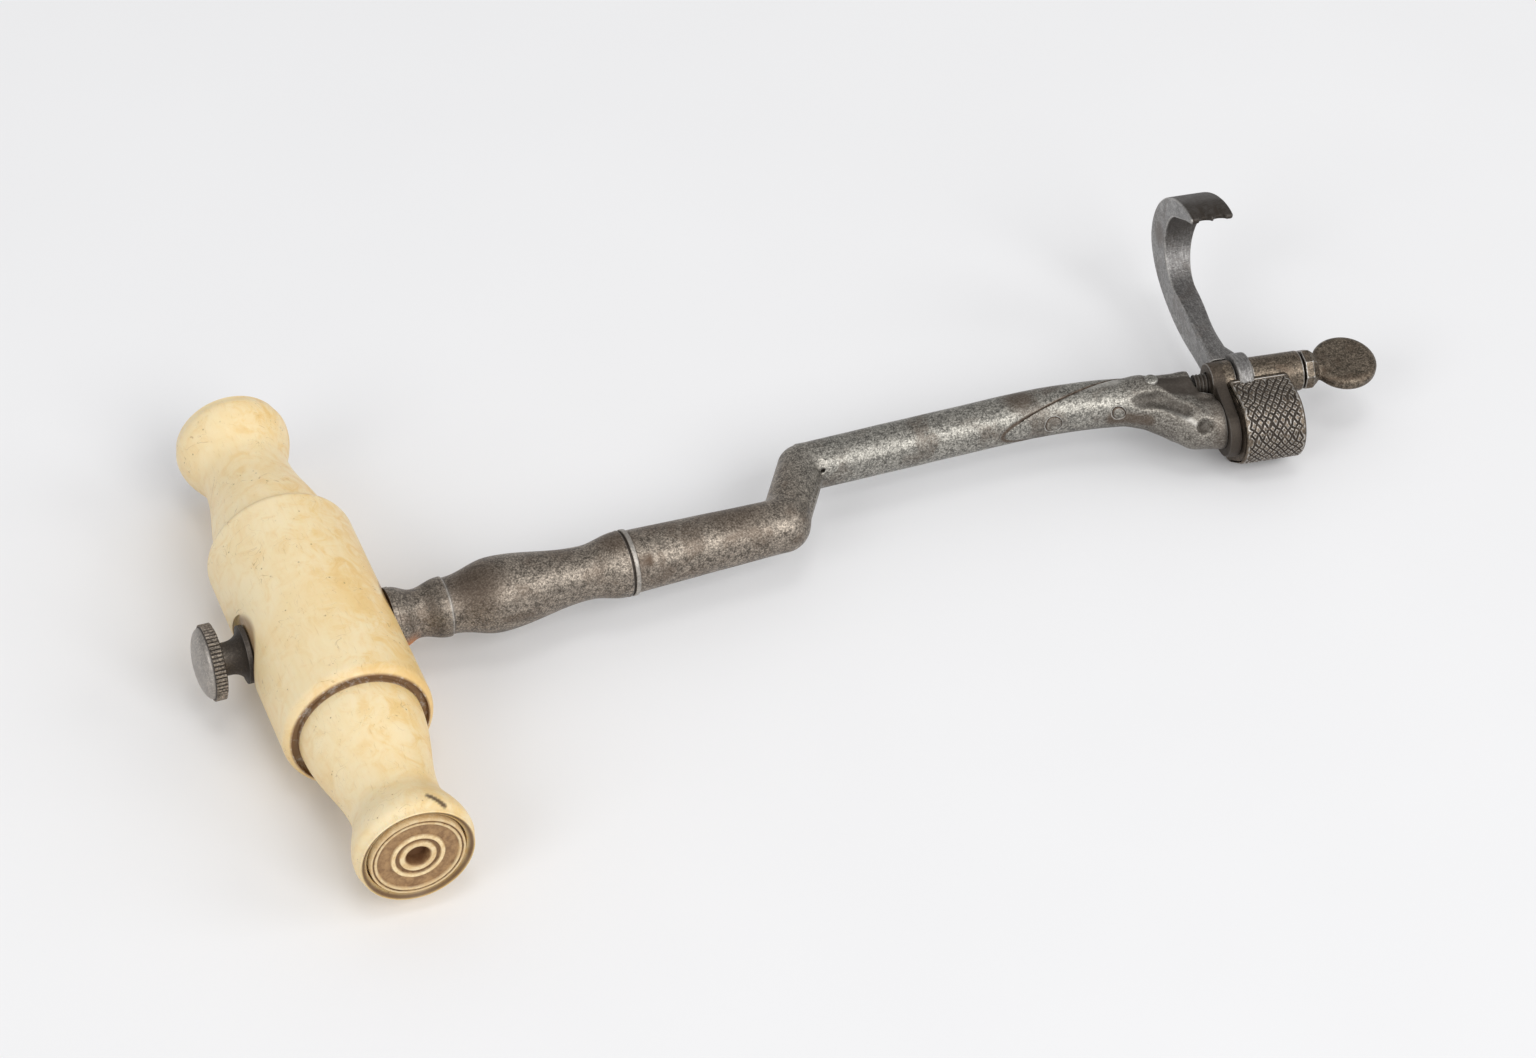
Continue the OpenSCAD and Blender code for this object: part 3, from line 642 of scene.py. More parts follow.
def points_of(mesh, matrix):
    """The mesh's points in the frame of a matrix, as three arrays in its units."""
    m = np.array(matrix.inverted())
    return (read(mesh.vertices, "co") @ m[:3, :3].T + m[:3, 3]).T


def smooth(value, low, high):
    t = np.clip((value - low) / (high - low), 0, 1)
    return t * t * (3 - 2 * t)


def spot(points, centre, inner, outer):
    """1 within inner of a place, and 0 beyond outer."""
    return 1 - smooth(ball(points, centre, 0), inner, outer)


def stroke(points, a, b, inner, outer):
    """1 within inner of the line from a to b, and 0 beyond outer."""
    return 1 - smooth(bar_between(points, a, b, 0, 0), inner, outer)


def seam_lines(points):
    """1 on the splice's seam and on the rivets' rims."""
    # The plane meets the bar's front at a low angle, where the same gap looks wider
    facing = math.cos(SPLICE_ANGLE) * np.clip((points[1] - THROW) / OFFSET_R, -0.985, 0.985)
    lines = 1 - smooth(np.abs(arm_side(points)) / np.sqrt(1 - facing ** 2), 0.1, 0.3)
    for which in RIVETS:
        lines = np.maximum(lines, 0.8 * (1 - smooth(np.abs(rivet_hole(points, which)), 0.06, 0.2)))
    return lines


def store(mesh, name, *values):
    """Stores the largest of the values at each point as an attribute."""
    values = np.maximum.reduce(values)
    mesh.attributes.new(name, "FLOAT", "POINT").data.foreach_set("value", values.astype(np.float32))


def linked(name, data):
    """A new object in the scene."""
    made = bpy.data.objects.new(name, data)
    bpy.context.scene.collection.objects.link(made)
    return made


def add_piece(name, mesh, node, slot, sharp=38):
    """Dresses a mesh and makes it the piece that replaces a CAD node."""
    for polygon in mesh.polygons:
        polygon.use_smooth = True
    mesh.set_sharp_from_angle(angle=math.radians(sharp))
    if "edge" not in mesh.attributes:
        mark_edges(mesh)
    mesh.materials.clear()
    mesh.materials.append(finish_for(slot))
    piece = linked(name, mesh)
    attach(piece, frame["nodes"][node]["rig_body"])
    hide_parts(node)


def with_modifier(mesh, kind, settings, inputs=None):
    """The mesh after a modifier. A tree's inputs are set by their sockets' identifiers."""
    worked = linked("worked", mesh)
    modifier = worked.modifiers.new(kind.title(), kind)
    for name, value in settings.items():
        setattr(modifier, name, value)
    if inputs:
        for item in modifier.node_group.interface.items_tree:
            if item.item_type == "SOCKET" and item.in_out == "INPUT" and item.name in inputs:
                modifier[item.identifier] = inputs[item.name]
    bpy.context.view_layer.update()
    evaluated = worked.evaluated_get(bpy.context.evaluated_depsgraph_get())
    result = bpy.data.meshes.new_from_object(evaluated)
    worked.modifiers.clear()
    bpy.data.objects.remove(worked)
    return result


def new_tree(name, inputs):
    """An empty geometry tree with named inputs, as (tree, inputs by name, end)."""
    group = bpy.data.node_groups.new(name, "GeometryNodeTree")
    group.interface.new_socket("Geometry", in_out="INPUT", socket_type="NodeSocketGeometry")
    for label, kind in inputs.items():
        group.interface.new_socket(label, in_out="INPUT", socket_type="NodeSocket" + kind)
    group.interface.new_socket("Geometry", in_out="OUTPUT", socket_type="NodeSocketGeometry")
    tree = Tree(group)
    start = tree.node("NodeGroupInput")
    sockets = {out.name: Socket(tree, out) for out in start.outputs if out.name}

    def end(geometry):
        """Realizes, sets the material, and ends the tree."""
        real = tree.out("GeometryNodeRealizeInstances", values={0: geometry})
        dressed = tree.out("GeometryNodeSetMaterial", values={"Geometry": real,
                                                              "Material": sockets["Material"]})
        tree.node("NodeGroupOutput", values={0: dressed})
        return group

    return tree, sockets, end


# ---- handle's pieces

def grip_profile(sizes):
    """Half of the handle from the barrel's groove to its end, as (radius, place)."""
    root, waist, flare = (v / MM for v in (sizes.grip_root, sizes.grip_waist, sizes.grip_flare))
    start, length = BARREL_HALF, HALF_LEN
    waist_at, crest_at = length - 8.6, length - 1.7
    points = [(root, start - 0.8), (root, start)]
    points += swell((root, start), (waist, waist_at), 26)
    points += swell((waist, waist_at), (flare, crest_at), 20)
    points += swell((flare, crest_at), (flare - 0.38, length - 0.12), 6)
    points += [(flare - 0.48, length), (6.9, length - 0.05), (6.4, length - 0.45), (6.2, length - 0.6),
               (6.2, length - 2.2)]
    return points


class OBJECT_OT_key_barrel(bpy.types.Operator):
    """Adds the handle's middle barrel, with seats for the shank and the thumb screw"""
    bl_idname = "dental_key.barrel"
    bl_label = "Barrel"

    def execute(self, context):
        sizes = context.scene.key_sizes
        lip = sizes.grip_root / MM + sizes.joint_groove / MM
        half, r, rounding = BARREL_HALF, BARREL_R, 1.6
        lip_angle = math.degrees(math.acos((lip - r + rounding) / rounding))
        rim = arc((r - rounding, half - rounding), (rounding, rounding), 0, lip_angle, 12)
        side = [(r, y) for y in np.linspace(-(half - rounding), half - rounding, 60)[1:-1]]
        upper = rim + [(lip - 0.05, rim[-1][1] - 0.1), (lip - 0.1, half - 0.8)]
        lower = [(x, -y) for x, y in reversed(upper)]
        mesh = mesh_from("barrel", turned(lower + side + upper, 256), ALONG_Y)
        for start, end, radius, aside in ((-r - 2, -8.9, 4.75, 0.25), (9.1, r + 2, 4.45, 0)):
            place = FIT @ Matrix.Translation((0, aside, 0)) @ Matrix.Rotation(math.pi / 2, 4, "Y")
            seat = mesh_from("seat", turned([(radius, start), (radius, end)], 128), place)
            cutter = linked("cutter", seat)
            mesh = with_modifier(mesh, "BOOLEAN", {"operation": "DIFFERENCE", "solver": "EXACT",
                                                   "object": cutter})
            bpy.data.objects.remove(cutter)
        add_piece("Barrel", mesh, "handle_barrel", "bone", 32)
        return {"FINISHED"}


def both_ends(name, node, profile, segments):
    """The near and the far piece of a turned pair, as (name, mesh, node)."""
    for end, turn in (("Near", ALONG_Y @ Matrix.Rotation(math.pi, 4, "X")), ("Far", ALONG_Y)):
        mesh = mesh_from(name + end, turned(profile, segments), turn)
        yield name + end, mesh, f"{node}_{end.lower()}"


class OBJECT_OT_key_grips(bpy.types.Operator):
    """Adds the two turned grip ends"""
    bl_idname = "dental_key.grips"
    bl_label = "Grip ends"

    def execute(self, context):
        profile = grip_profile(context.scene.key_sizes)
        for name, mesh, node in both_ends("Grip", "grip_end", profile, 224):
            # The short dark mark on the near end's flare
            mark = stroke(points_of(mesh, FIT), (2.2, -37.6, 7.15), (3.6, -39.0, 6.3), 0.26, 0.5)
            store(mesh, "stain", 0.9 * mark)
            add_piece(name, mesh, node, "bone", 32)
        return {"FINISHED"}


class OBJECT_OT_key_plugs(bpy.types.Operator):
    """Adds the ringed discs in the handle's ends"""
    bl_idname = "dental_key.plugs"
    bl_label = "End discs"

    def execute(self, context):
        face = [(5.95, -0.4), (5.92, -0.12), (5.85, 0), (5.62, 0), (5.56, -0.14), (5.46, -0.14),
                (5.4, 0), (5.1, 0), (4.95, -0.2), (3.45, -0.22), (3.3, 0), (2.85, 0), (2.7, -0.25),
                (2.4, -0.25), (2.25, 0), (1.65, 0), (1.5, -0.1), (1.4, -0.4), (1.3, -1.6)]
        profile = [(5.95, HALF_LEN - 2.2)] + [(r, HALF_LEN + h) for r, h in face]
        for name, mesh, node in both_ends("Plug", "end_plug", profile, 160):
            add_piece(name, mesh, node, "stained_bone", 32)
        return {"FINISHED"}


# ---- steel pieces

def bar_field(p, extra=0.0):
    """The offset bar: straight, then curved back towards the handle's line."""
    x, y, z = p
    r = OFFSET_R + extra
    curve = norm(x - CURVE_X, y - THROW + CURVE_R) - CURVE_R
    return np.where(x < CURVE_X, norm(y - THROW, z) - r, norm(curve, z) - r)


def to_splice(p):
    """Places along and behind the splice's plane."""
    return rotated(p[0] - SPLICE_X, p[1] - (THROW - OFFSET_R), SPLICE_ANGLE)


def arm_side(p):
    """Below zero where the arm has the bar, and above where the shank has it."""
    along, behind = to_splice(p)
    return np.minimum(np.maximum(-along, behind), SPLICE_LEN - along)


def to_bit(p):
    """From the handle's frame to the pivot's."""
    return *rotated(p[0] - PIVOT_FIT.x, p[1] - PIVOT_FIT.y, -YAW), p[2]


def beside_seam(p):
    """0 at the splice's seam and 1 away from it, to keep worn edges off the thin end."""
    return smooth(np.abs(arm_side(p)), 0.15, 0.6)


def rivet_hole(p, which, grow=0.0):
    """A cylinder square to the splice's plane."""
    x, z, r = RIVETS[which]
    along, _ = rotated(p[0] - x, p[1] - (THROW - OFFSET_R), SPLICE_ANGLE)
    return norm(along, p[2] - z) - r - grow


def drilled(body, p):
    """The body with the holes of both rivets."""
    for which in RIVETS:
        body = cut(body, rivet_hole(p, which, 0.05), 0.12)
    return body


def shank_field(p):
    x, y, z = p
    taper = np.clip((x - BAR_FROM) / (CRANK_X - BAR_FROM), 0, 1)
    lower = norm(y, z) - (BAR_R + (BAR_END_R - BAR_R) * taper)
    turn_x = CRANK_X - 0.6
    lower = np.maximum(lower, x - turn_x)
    lower = np.minimum(lower, ball(p, (turn_x, 0, 0), BAR_END_R + 0.02))
    crank = bar_between(p, (CRANK_X - 0.15, 0.3, 0), (CRANK_TOP, THROW - 0.1, 0), 3.18, OFFSET_R)
    upper = np.maximum(bar_field(p), CRANK_TOP - x)
    body = join(join(lower, crank, 0.9), upper, 0.35)
    # The crease that forging left from the inner corner down the crank
    body = cut(body, bar_between(p, (70.3, 7.1, 1.3), (65.9, 0.5, 0.9), 0.22, 0.12), 0.2)
    # A little of the bar stays under the arm's thin end, so that no gap opens there
    under = np.maximum(body + 0.06, x - SPLICE_X - 3)
    body = np.minimum(cut(body, arm_side(p) - 0.03, 0.14), under)
    return drilled(body, p) + hammered(p, 2.6, 0.05, 3)


def shank_profile():
    """The turned part from the flange into the straight bar, as (radius, place)."""
    step, width = 0.22, 0.35
    profile = [(4.1, 9.1), (4.1, 9.7), (4.0, 9.8)]
    profile += swell((4.0, 9.8), (3.1, 12.6), 12)
    profile += swell((3.1, 12.6), (3.85, BEAD - width), 12)
    profile += [(3.87, BEAD - 0.12), (3.82, BEAD), (3.85 - step, BEAD + 0.03), (3.63, BEAD + width)]
    profile += swell((3.63, BEAD + width), (4.83, 23), 24)
    profile += swell((4.83, 23), (3.48, 35), 30)
    profile += swell((3.48, 35), (4.26, COLLAR - width), 16)
    profile += [(4.32, COLLAR - 0.1), (4.3, COLLAR), (4.3 - step, COLLAR + 0.04),
                (4.3 - step, COLLAR + width - 0.04), (4.28, COLLAR + width),
                (4.32, COLLAR + width + 0.12), (4.32, COLLAR + width + 0.5),
                (4.26, COLLAR + width + 0.62), (4.06, COLLAR + width + 0.72), (BAR_R, BAR_FROM)]
    slope = (BAR_END_R - BAR_R) / (CRANK_X - BAR_FROM)
    return profile + [(BAR_R + slope * (x - BAR_FROM), x)
                      for x in np.linspace(BAR_FROM, TURNED_END - 0.3, 12)[1:]]


def mark_shank(mesh):
    """Stores the shank's rust, its grime and painted shade, its light lines of wear and painted highlight,
    and its brown spots.
    """
    points = points_of(mesh, FIT)
    x, y, z = points
    store(mesh, "rust", 1.3 * (1 - smooth(x, 10.4, 12.8)) * (1 - smooth(z - 0.4 * y, -1.2, 2.2)))
    groove = 1 - smooth(np.abs(x - COLLAR - 0.17), 0.1, 0.2)
    ring = 1 - smooth(np.abs(x - COLLAR - 0.66), 0.2, 0.34)
    lip = 1 - smooth(np.abs(x - BEAD + 0.05), 0.02, 0.14)
    hollow = 0.45 * (1 - smooth(np.abs(x - 14.6), 0.3, 1.6))
    patch = (20.0, -1.4, 3.8)
    # Grime in the collar's groove and on the brown patch; painted shade in the waist's hollow and along the
    # underside
    store(mesh, "grime_and_shade", groove, 0.3 * spot(points, patch, 0.5, 5.5),
          hollow + 0.4 * smooth(-z, 1.6, 3.4))
    # Light lines on the collar's ring and the bead's lip: worn metal together with painted highlight
    store(mesh, "wear_and_highlight", 0.4 * ring + 0.3 * lip)
    store(mesh, "brown", 0.95 * spot(points, (42.1, -3.1, 2.5), 0.5, 1.5),
          0.72 * spot(points, patch, 1.0, 6.0),
          0.6 * spot(points, (39.0, 0.5, 4.4), 1.0, 3.6),
          0.7 * spot(points, (99.0, 9.6, 3.2), 1.0, 3.2),
          0.5 * spot(points, (55.0, 1.5, 3.7), 2.0, 6.0), 0.85 * seam_lines(points))
    mark_edges(mesh, beside_seam(points))


class OBJECT_OT_key_shank(bpy.types.Operator):
    """Adds the shank: turned from its flange to the collar, then the cranked round bar"""
    bl_idname = "dental_key.shank"
    bl_label = "Shank"

    def execute(self, context):
        front = mesh_from("front", turned(shank_profile(), 160, open_end=True), ALONG_X)
        low, high = (TURNED_END - 1, -5, -5), (116.5, 13.5, 5)
        bar = mesh_from("bar", skinned(shank_field, low, high, 0.19), FIT)
        shape = bmesh.new()
        shape.from_mesh(bar)
        bmesh.ops.bisect_plane(shape, geom=shape.verts[:] + shape.edges[:] + shape.faces[:],
                               plane_co=FIT @ Vector((TURNED_END, 0, 0)), plane_no=(1, 0, 0),
                               clear_inner=True, dist=1e-7)
        shape.from_mesh(front)
        bmesh.ops.bridge_loops(shape, edges=[e for e in shape.edges if e.is_boundary])
        bmesh.ops.recalc_face_normals(shape, faces=shape.faces)
        shape.to_mesh(bar)
        shape.free()
        mark_shank(bar)
        add_piece("Shank", bar, "shank", "dark_steel")
        return {"FINISHED"}


def arm_field(p):
    """The forged arm: the bar's end, the lower lobe, the upper fin and the notch."""
    q = to_bit(p)
    angle = np.arctan2(p[0] - CURVE_X, p[1] - THROW + CURVE_R)
    bar = np.maximum(bar_field(p), (angle - CURVE_ANGLE) * CURVE_R)
    end = (CURVE_X + CURVE_R * math.sin(CURVE_ANGLE), THROW - CURVE_R * (1 - math.cos(CURVE_ANGLE)), 0)
    end = to_bit(end)
    middle, low_end, fin_end = (-9.5, -4.1, -1.6), (-7.6, -5.1, -2.25), (-7.9, -0.5, -0.3)
    lobe = bar_between(q, end, middle, OFFSET_R, 3.25)
    lobe = join(lobe, bar_between(q, middle, low_end, 3.25, 3.3), 0.3)
    lobe = join(lobe, bar_between(q, low_end, (-3.0, -5.8, -2.55), 3.3, 3.3), 0.3)
    fin = bar_between(q, end, fin_end, OFFSET_R, 2.6)
    fin = join(fin, bar_between(q, fin_end, (-5.6, -2.0, -1.6), 2.5, 2.2), 0.8)
    body = join(join(bar, lobe, 0.6), fin, 0.9)
    # The fin's face is a little hollow, and the lobe has a dent
    body = cut(body, bar_between(q, (-13.5, -4.0, 5.7), (-6, -3.3, 4.0), 2.9, 3.0), 0.3)
    body = cut(body, ball(q, (-7.4, -8.15, -0.32), 1.1), 0.5)
    # The crease between the fin and the lobe
    for a, b in zip(CREASE, CREASE[1:]):
        body = cut(body, bar_between(q, a, b, 0.95, 0.95), 0.7)
    body = keep(body, q[0] - ARM_FACE, 0.3)
    lip = [(1, -1.2), (-0.5, -1.2), (-1.4, -0.3), (-2.4, 1.2), (-3.4, 2.7), (-3.9, 4.5), (1, 4.5)]
    notch = np.maximum(outline_field(q[0] - ARM_FACE, q[2], lip), -2.5 - q[1])
    body = cut(body, notch, 0.2)
    body = cut(body, rod_x(q, -6.9, 0, 2.1), 0.3)
    body = cut(body, -(arm_side(p) + 0.03), 0.14)
    return drilled(body, p) + hammered(p, 2.2, 0.07, 5)


def mark_arm(mesh):
    """Stores the arm's painted shade with some grime, the painted highlight on its ridge and scaled top,
    and its brown patches.
    """
    points, bit = points_of(mesh, FIT), points_of(mesh, BIT)
    x, y, z = bit
    # Painted shade with some grime: in the crease, on the fin's upper face, in the lobe's dent, along the
    # underside and at the end against the bolster
    crease = [0.85 * stroke(bit, a, b, 0.7, 1.5) for a, b in zip(CREASE, CREASE[1:])]
    fin = smooth(-y, 0.3, 0.8) * (1 - smooth(-y, 2.9, 3.8)) * smooth(z, 0.4, 1.2)
    fin = fin * smooth(x + 15.2 + 1.4 * (y + 0.5), 0.0, 0.9)
    dent = spot(bit, (-7.5, -7.8, -0.7), 0.55, 1.0)
    under = 0.6 * smooth(-z, 0.2, 2.8) * (1 - smooth(x, -14.5, -10))
    face = 0.6 * smooth(x, ARM_FACE - 0.9, ARM_FACE - 0.2)
    store(mesh, "grime_and_shade", *crease, 0.95 * fin, 0.75 * dent, under, face)
    # A painted highlight along the lobe's ridge, and a light line along the bar's top
    ridge = [(-12.6, -4.9, 1.7), (-10.6, -5.9, 1.1), (-8.6, -7.6, 0.0)]
    store(mesh, "wear_and_highlight", *[0.4 * stroke(bit, a, b, 0.1, 0.6) for a, b in zip(ridge, ridge[1:])],
          0.6 * stroke(points, (105.5, 9.4, 3.0), (112.5, 8.6, 3.0), 0.2, 1.1))
    store(mesh, "brown", 0.85 * seam_lines(points), 0.5 * spot(bit, (-6.5, -3.5, 0.8), 0.5, 2.2),
          0.75 * stroke(bit, (-19, -3.9, 0.0), (-14.5, -5.1, -0.3), 0.5, 1.6),
          0.28 * smooth(x, -19, -14) + 0.25 * smooth(x, -7.5, -5.2))
    mark_edges(mesh, beside_seam(points))


class OBJECT_OT_key_arm(bpy.types.Operator):
    """Adds the forged arm, its two rivets and the bolster's pin"""
    bl_idname = "dental_key.arm"
    bl_label = "Arm and rivets"

    def execute(self, context):
        mesh = mesh_from("arm", skinned(arm_field, (94, -4, -6.4), (127, 14, 4.2), 0.15), FIT)
        mark_arm(mesh)
        add_piece("Arm", mesh, "bit_arm", "dark_steel")
        for which, name in (("large", "RivetLarge"), ("small", "RivetSmall")):
            x, z, r = RIVETS[which]

            def field(p):
                return keep(bar_field(p, 0.04), rivet_hole(p, which), 0.12)

            low = (x - r - 1.6, THROW - OFFSET_R - 1.8, z - r - 0.3)
            high = (x + r + 1.6, THROW + OFFSET_R + 0.5, z + r + 0.3)
            mesh = mesh_from(name, skinned(field, low, high, 0.07), FIT)
            store(mesh, "brown", seam_lines(points_of(mesh, FIT)))
            store(mesh, "edge", np.zeros(len(mesh.vertices)))
            add_piece(name, mesh, "splice_rivet_" + which, "dark_steel")
        dome = [(0.7, -2.3), (0.7, 3.0), (0.95, 3.05), (0.95, 3.2)] + arc((0, 3.2), (0.95, 0.5), 10, 85, 8)
        pin = mesh_from("pin", turned(dome, 48), BIT @ Matrix.Translation((*PIN, 0)))
        add_piece("ArmPin", pin, "arm_pin", "dark_steel")
        return {"FINISHED"}


def pad_outline(inset, count):
    """Even points round the pad, drawn in by the inset, with their places along it."""
    angles = np.linspace(0, 2 * np.pi, 2880, endpoint=False)
    u = np.stack([np.cos(angles), np.sin(angles)], 1)
    centres = np.array([c[:2] for c in PAD_ROUNDS])
    radii = np.array([c[2] - inset for c in PAD_ROUNDS])
    reach = u @ centres.T + radii
    best = reach.argmax(1)
    points = centres[best] + radii[best][:, None] * u
    closed = np.vstack([points, points[:1]])
    steps = np.concatenate([[0], np.cumsum(np.linalg.norm(np.diff(closed, axis=0), axis=1))])
    places = np.linspace(0, steps[-1], count, endpoint=False)
    return np.stack([np.interp(places, steps, closed[:, i]) for i in range(2)], 1), places


def pad_mesh():
    """The pad as a closed drum, with its places round and across stored for the knurl."""
    # Off the drum's round side, places across are out of the knurl's reach
    rounding, count, rows_across, off_side = 0.6, 440, 96, -99.0
    rows = [(PAD_FROM, rounding * 1.001 + d) for d in (2.6, 1.6, 0.8, 0.3)]
    turn = np.linspace(0, math.pi / 2, 7)
    rows += [(PAD_FROM + rounding * (1 - math.cos(t)), rounding * (1 - math.sin(t))) for t in turn]
    rows += [(x, 0.0) for x in np.linspace(PAD_FROM + rounding, PAD_TO - rounding, rows_across)[1:-1]]
    rows += [(PAD_TO - rounding * (1 - math.cos(t)), rounding * (1 - math.sin(t))) for t in turn[::-1]]
    rows += [(PAD_TO, rounding + d) for d in (0.3, 0.8, 1.6, 2.6)]
    verts, around, across = [], [], []
    centre = np.array([-5.4, -3.4])
    for x, inset in rows:
        if inset <= rounding:
            ring, places = pad_outline(inset, count)
        else:
            flat, places = pad_outline(rounding, count)
            ring = centre + (flat - centre) * (1 - (inset - rounding) / 3.4)
        verts += [(x, a, b) for a, b in ring]
        around += list(places)
        across += [x if inset == 0.0 else off_side] * count
    faces = []
    for r in range(len(rows) - 1):
        for s in range(count):
            a, b = r * count + s, r * count + (s + 1) % count
            faces.append((a, b, b + count, a + count))
    verts += [(PAD_FROM, *centre), (PAD_TO, *centre)]
    around += [0.0, 0.0]
    across += [off_side, off_side]
    last = (len(rows) - 1) * count
    for s in range(count):
        faces.append(((s + 1) % count, s, len(verts) - 2))
        faces.append((last + s, last + (s + 1) % count, len(verts) - 1))
    mesh = mesh_from("pad", (verts, faces), BIT)
    store(mesh, "around", np.array(around))
    store(mesh, "across", np.array(across))
    return mesh


def knurl_tree():
    """Cuts two crossing families of lines into a surface that stores its places."""
    tree, given, end = new_tree("CutLines", {"Pitch": "Float", "Depth": "Float", "Fall": "Float",
                                             "Climb": "Float", "Waver": "Float", "First": "Float",
                                             "Material": "Material"})

    def stored(name):
        return tree.out("GeometryNodeInputNamedAttribute", {"data_type": "FLOAT"}, {"Name": name})

    around, across = stored("around"), stored("across")
    place = tree.out("ShaderNodeCombineXYZ", values={0: around * 0.35, 1: across * 0.35})
    waver = tree.out("ShaderNodeTexNoise", values={"Vector": place, "Scale": 1.0, "Detail": 2.0})
    pitch = given["Pitch"] / MM
    depth = None
    for slope in (given["Climb"], -given["Fall"]):
        # Places square to the lines, so that the pitch is the gap between them
        line = (around + across * slope + waver * given["Waver"]) / (slope * slope + 1).root()
        off = abs((line / pitch).fraction() - 0.5) * pitch
        groove = 1 - off.rise(0.02, 0.2)
        depth = groove if depth is None else depth.at_least(groove)
    worn = tree.out("ShaderNodeTexNoise", values={"Vector": place, "Scale": 2.5, "Detail": 2.0})
    depth = depth * (0.45 + worn.rise(0.3, 0.5) * 0.55) * around.rise(given["First"], given["First"] + 0.15)
    depth = depth.at_least(1 - abs(around - given["First"]).rise(0.0, 0.16))
    shown = across.rise(PAD_FROM + 0.3, PAD_FROM + 0.8) * (1 - across.rise(PAD_TO - 0.8, PAD_TO - 0.3))
    kept = tree.out("GeometryNodeStoreNamedAttribute", {"data_type": "FLOAT", "domain": "POINT"},
                    {"Geometry": given["Geometry"], "Name": "knurl", "Value": depth * shown})
    normal = tree.out("GeometryNodeInputNormal")
    push = tree.out("ShaderNodeVectorMath", {"operation": "SCALE"},
                    {0: normal, "Scale": -(depth * shown * given["Depth"])})
    moved = tree.out("GeometryNodeSetPosition", values={"Geometry": kept, "Offset": push})
    return end(moved)


def bolster_field(q):
    """Boss, neck, lug and tang in the pivot's frame."""
    boss = rod_x(q, BOSS_FROM, -LUG_FROM, 2.8)
    lug = rod_x(q, LUG_FROM, LUG_TO, 2.7)
    at_boss, at_pad = (-3.5, 0, 0), (-3.5, -6.3, -2.9)
    neck = keep(bar_between(q, at_boss, at_pad, 2.4, 3.7), between(q[0], ARM_FACE, -2.78), 0.2)
    core = np.maximum(bar_between(q, at_boss, at_pad, 2.1, 3.3), between(q[0], ARM_FACE, -2.3))
    neck = np.minimum(neck, core)
    tang = bar_between(q, (-4, -5.7, -2.5), (-13.4, -1.05, -0.25), 1.4, 1.4)
    web = bar_between(q, (1.6, -2.4, -1.3), (5.2, -2.4, -1.3), 1.9, 1.9)
    body = join(join(keep(boss, ball(q, (-2.9, 0, 0), 3.35), 0.3), neck, 0.5), tang, 0.2)
    body = np.minimum(body, join(keep(lug, ball(q, (4.8, 0, 0), 4.55), 0.3), web, 0.3))
    body = cut(body, rod_x(q, -LUG_FROM, LUG_FROM, 4.0), 0.15)
    return cut(body, rod_x(q, -9, 9.5, 1.56), 0.2) + hammered(q, 1.8, 0.03, 8)


class OBJECT_OT_key_bolster(bpy.types.Operator):
    """Adds the bolster with its cross-cut pad"""
    bl_idname = "dental_key.bolster"
    bl_label = "Bolster"

    def execute(self, context):
        sizes = context.scene.key_sizes
        values = {"Pitch": sizes.knurl_pitch, "Depth": sizes.knurl_depth, "Climb": 1.55,
                  "Fall": 1.25, "Waver": 2.2, "First": 2.8, "Material": finish_for("brown_steel")}
        pad = with_modifier(pad_mesh(), "NODES", {"node_group": knurl_tree()}, values)
        body = mesh_from("body", skinned(bolster_field, (-15.2, -10.6, -7.2), (9, 4.2, 4.2), 0.14), BIT)
        shape = bmesh.new()
        shape.from_mesh(pad)
        shape.from_mesh(body)
        mesh = bpy.data.meshes.new("bolster")
        shape.to_mesh(mesh)
        shape.free()
        knurl = read(mesh.attributes["knurl"].data, "value", 1)[:, 0]
        for label in ("around", "across", "knurl"):
            if label in mesh.attributes:
                mesh.attributes.remove(mesh.attributes[label])
        x, y, z = points_of(mesh, BIT)
        neck = 1 - smooth(x, -3.0, -2.5)
        # Grime together with painted shade in the knurl's cuts and on the neck, darker towards the pad
        store(mesh, "grime_and_shade", 0.95 * knurl, neck * (0.45 + 0.4 * smooth(-y, 1.0, 3.0)))
        store(mesh, "brown", 0.35 * neck, 0.35 * smooth(-z, 2.5, 6.0))
        add_piece("Bolster", mesh, "bolster", "brown_steel")
        return {"FINISHED"}


def claw_outline():
    """The claw across its pivot, as (out, up) points."""
    points = [(0, 1.6), (0, -3.2)]
    points += arc((15.0, 4.6), (13.6, 7.8), -90, 0, 30)
    points += arc((15.2, 4.6), (13.4, 11.38), 3, 90, 30)
    points += [(15.0, 15.75), (15.0, 15.35), (17.2, 14.3), (19.0, 13.2)]
    points += arc((17.8, 7.3), (5.7, 5.7), 55, -90, 24)
    return points


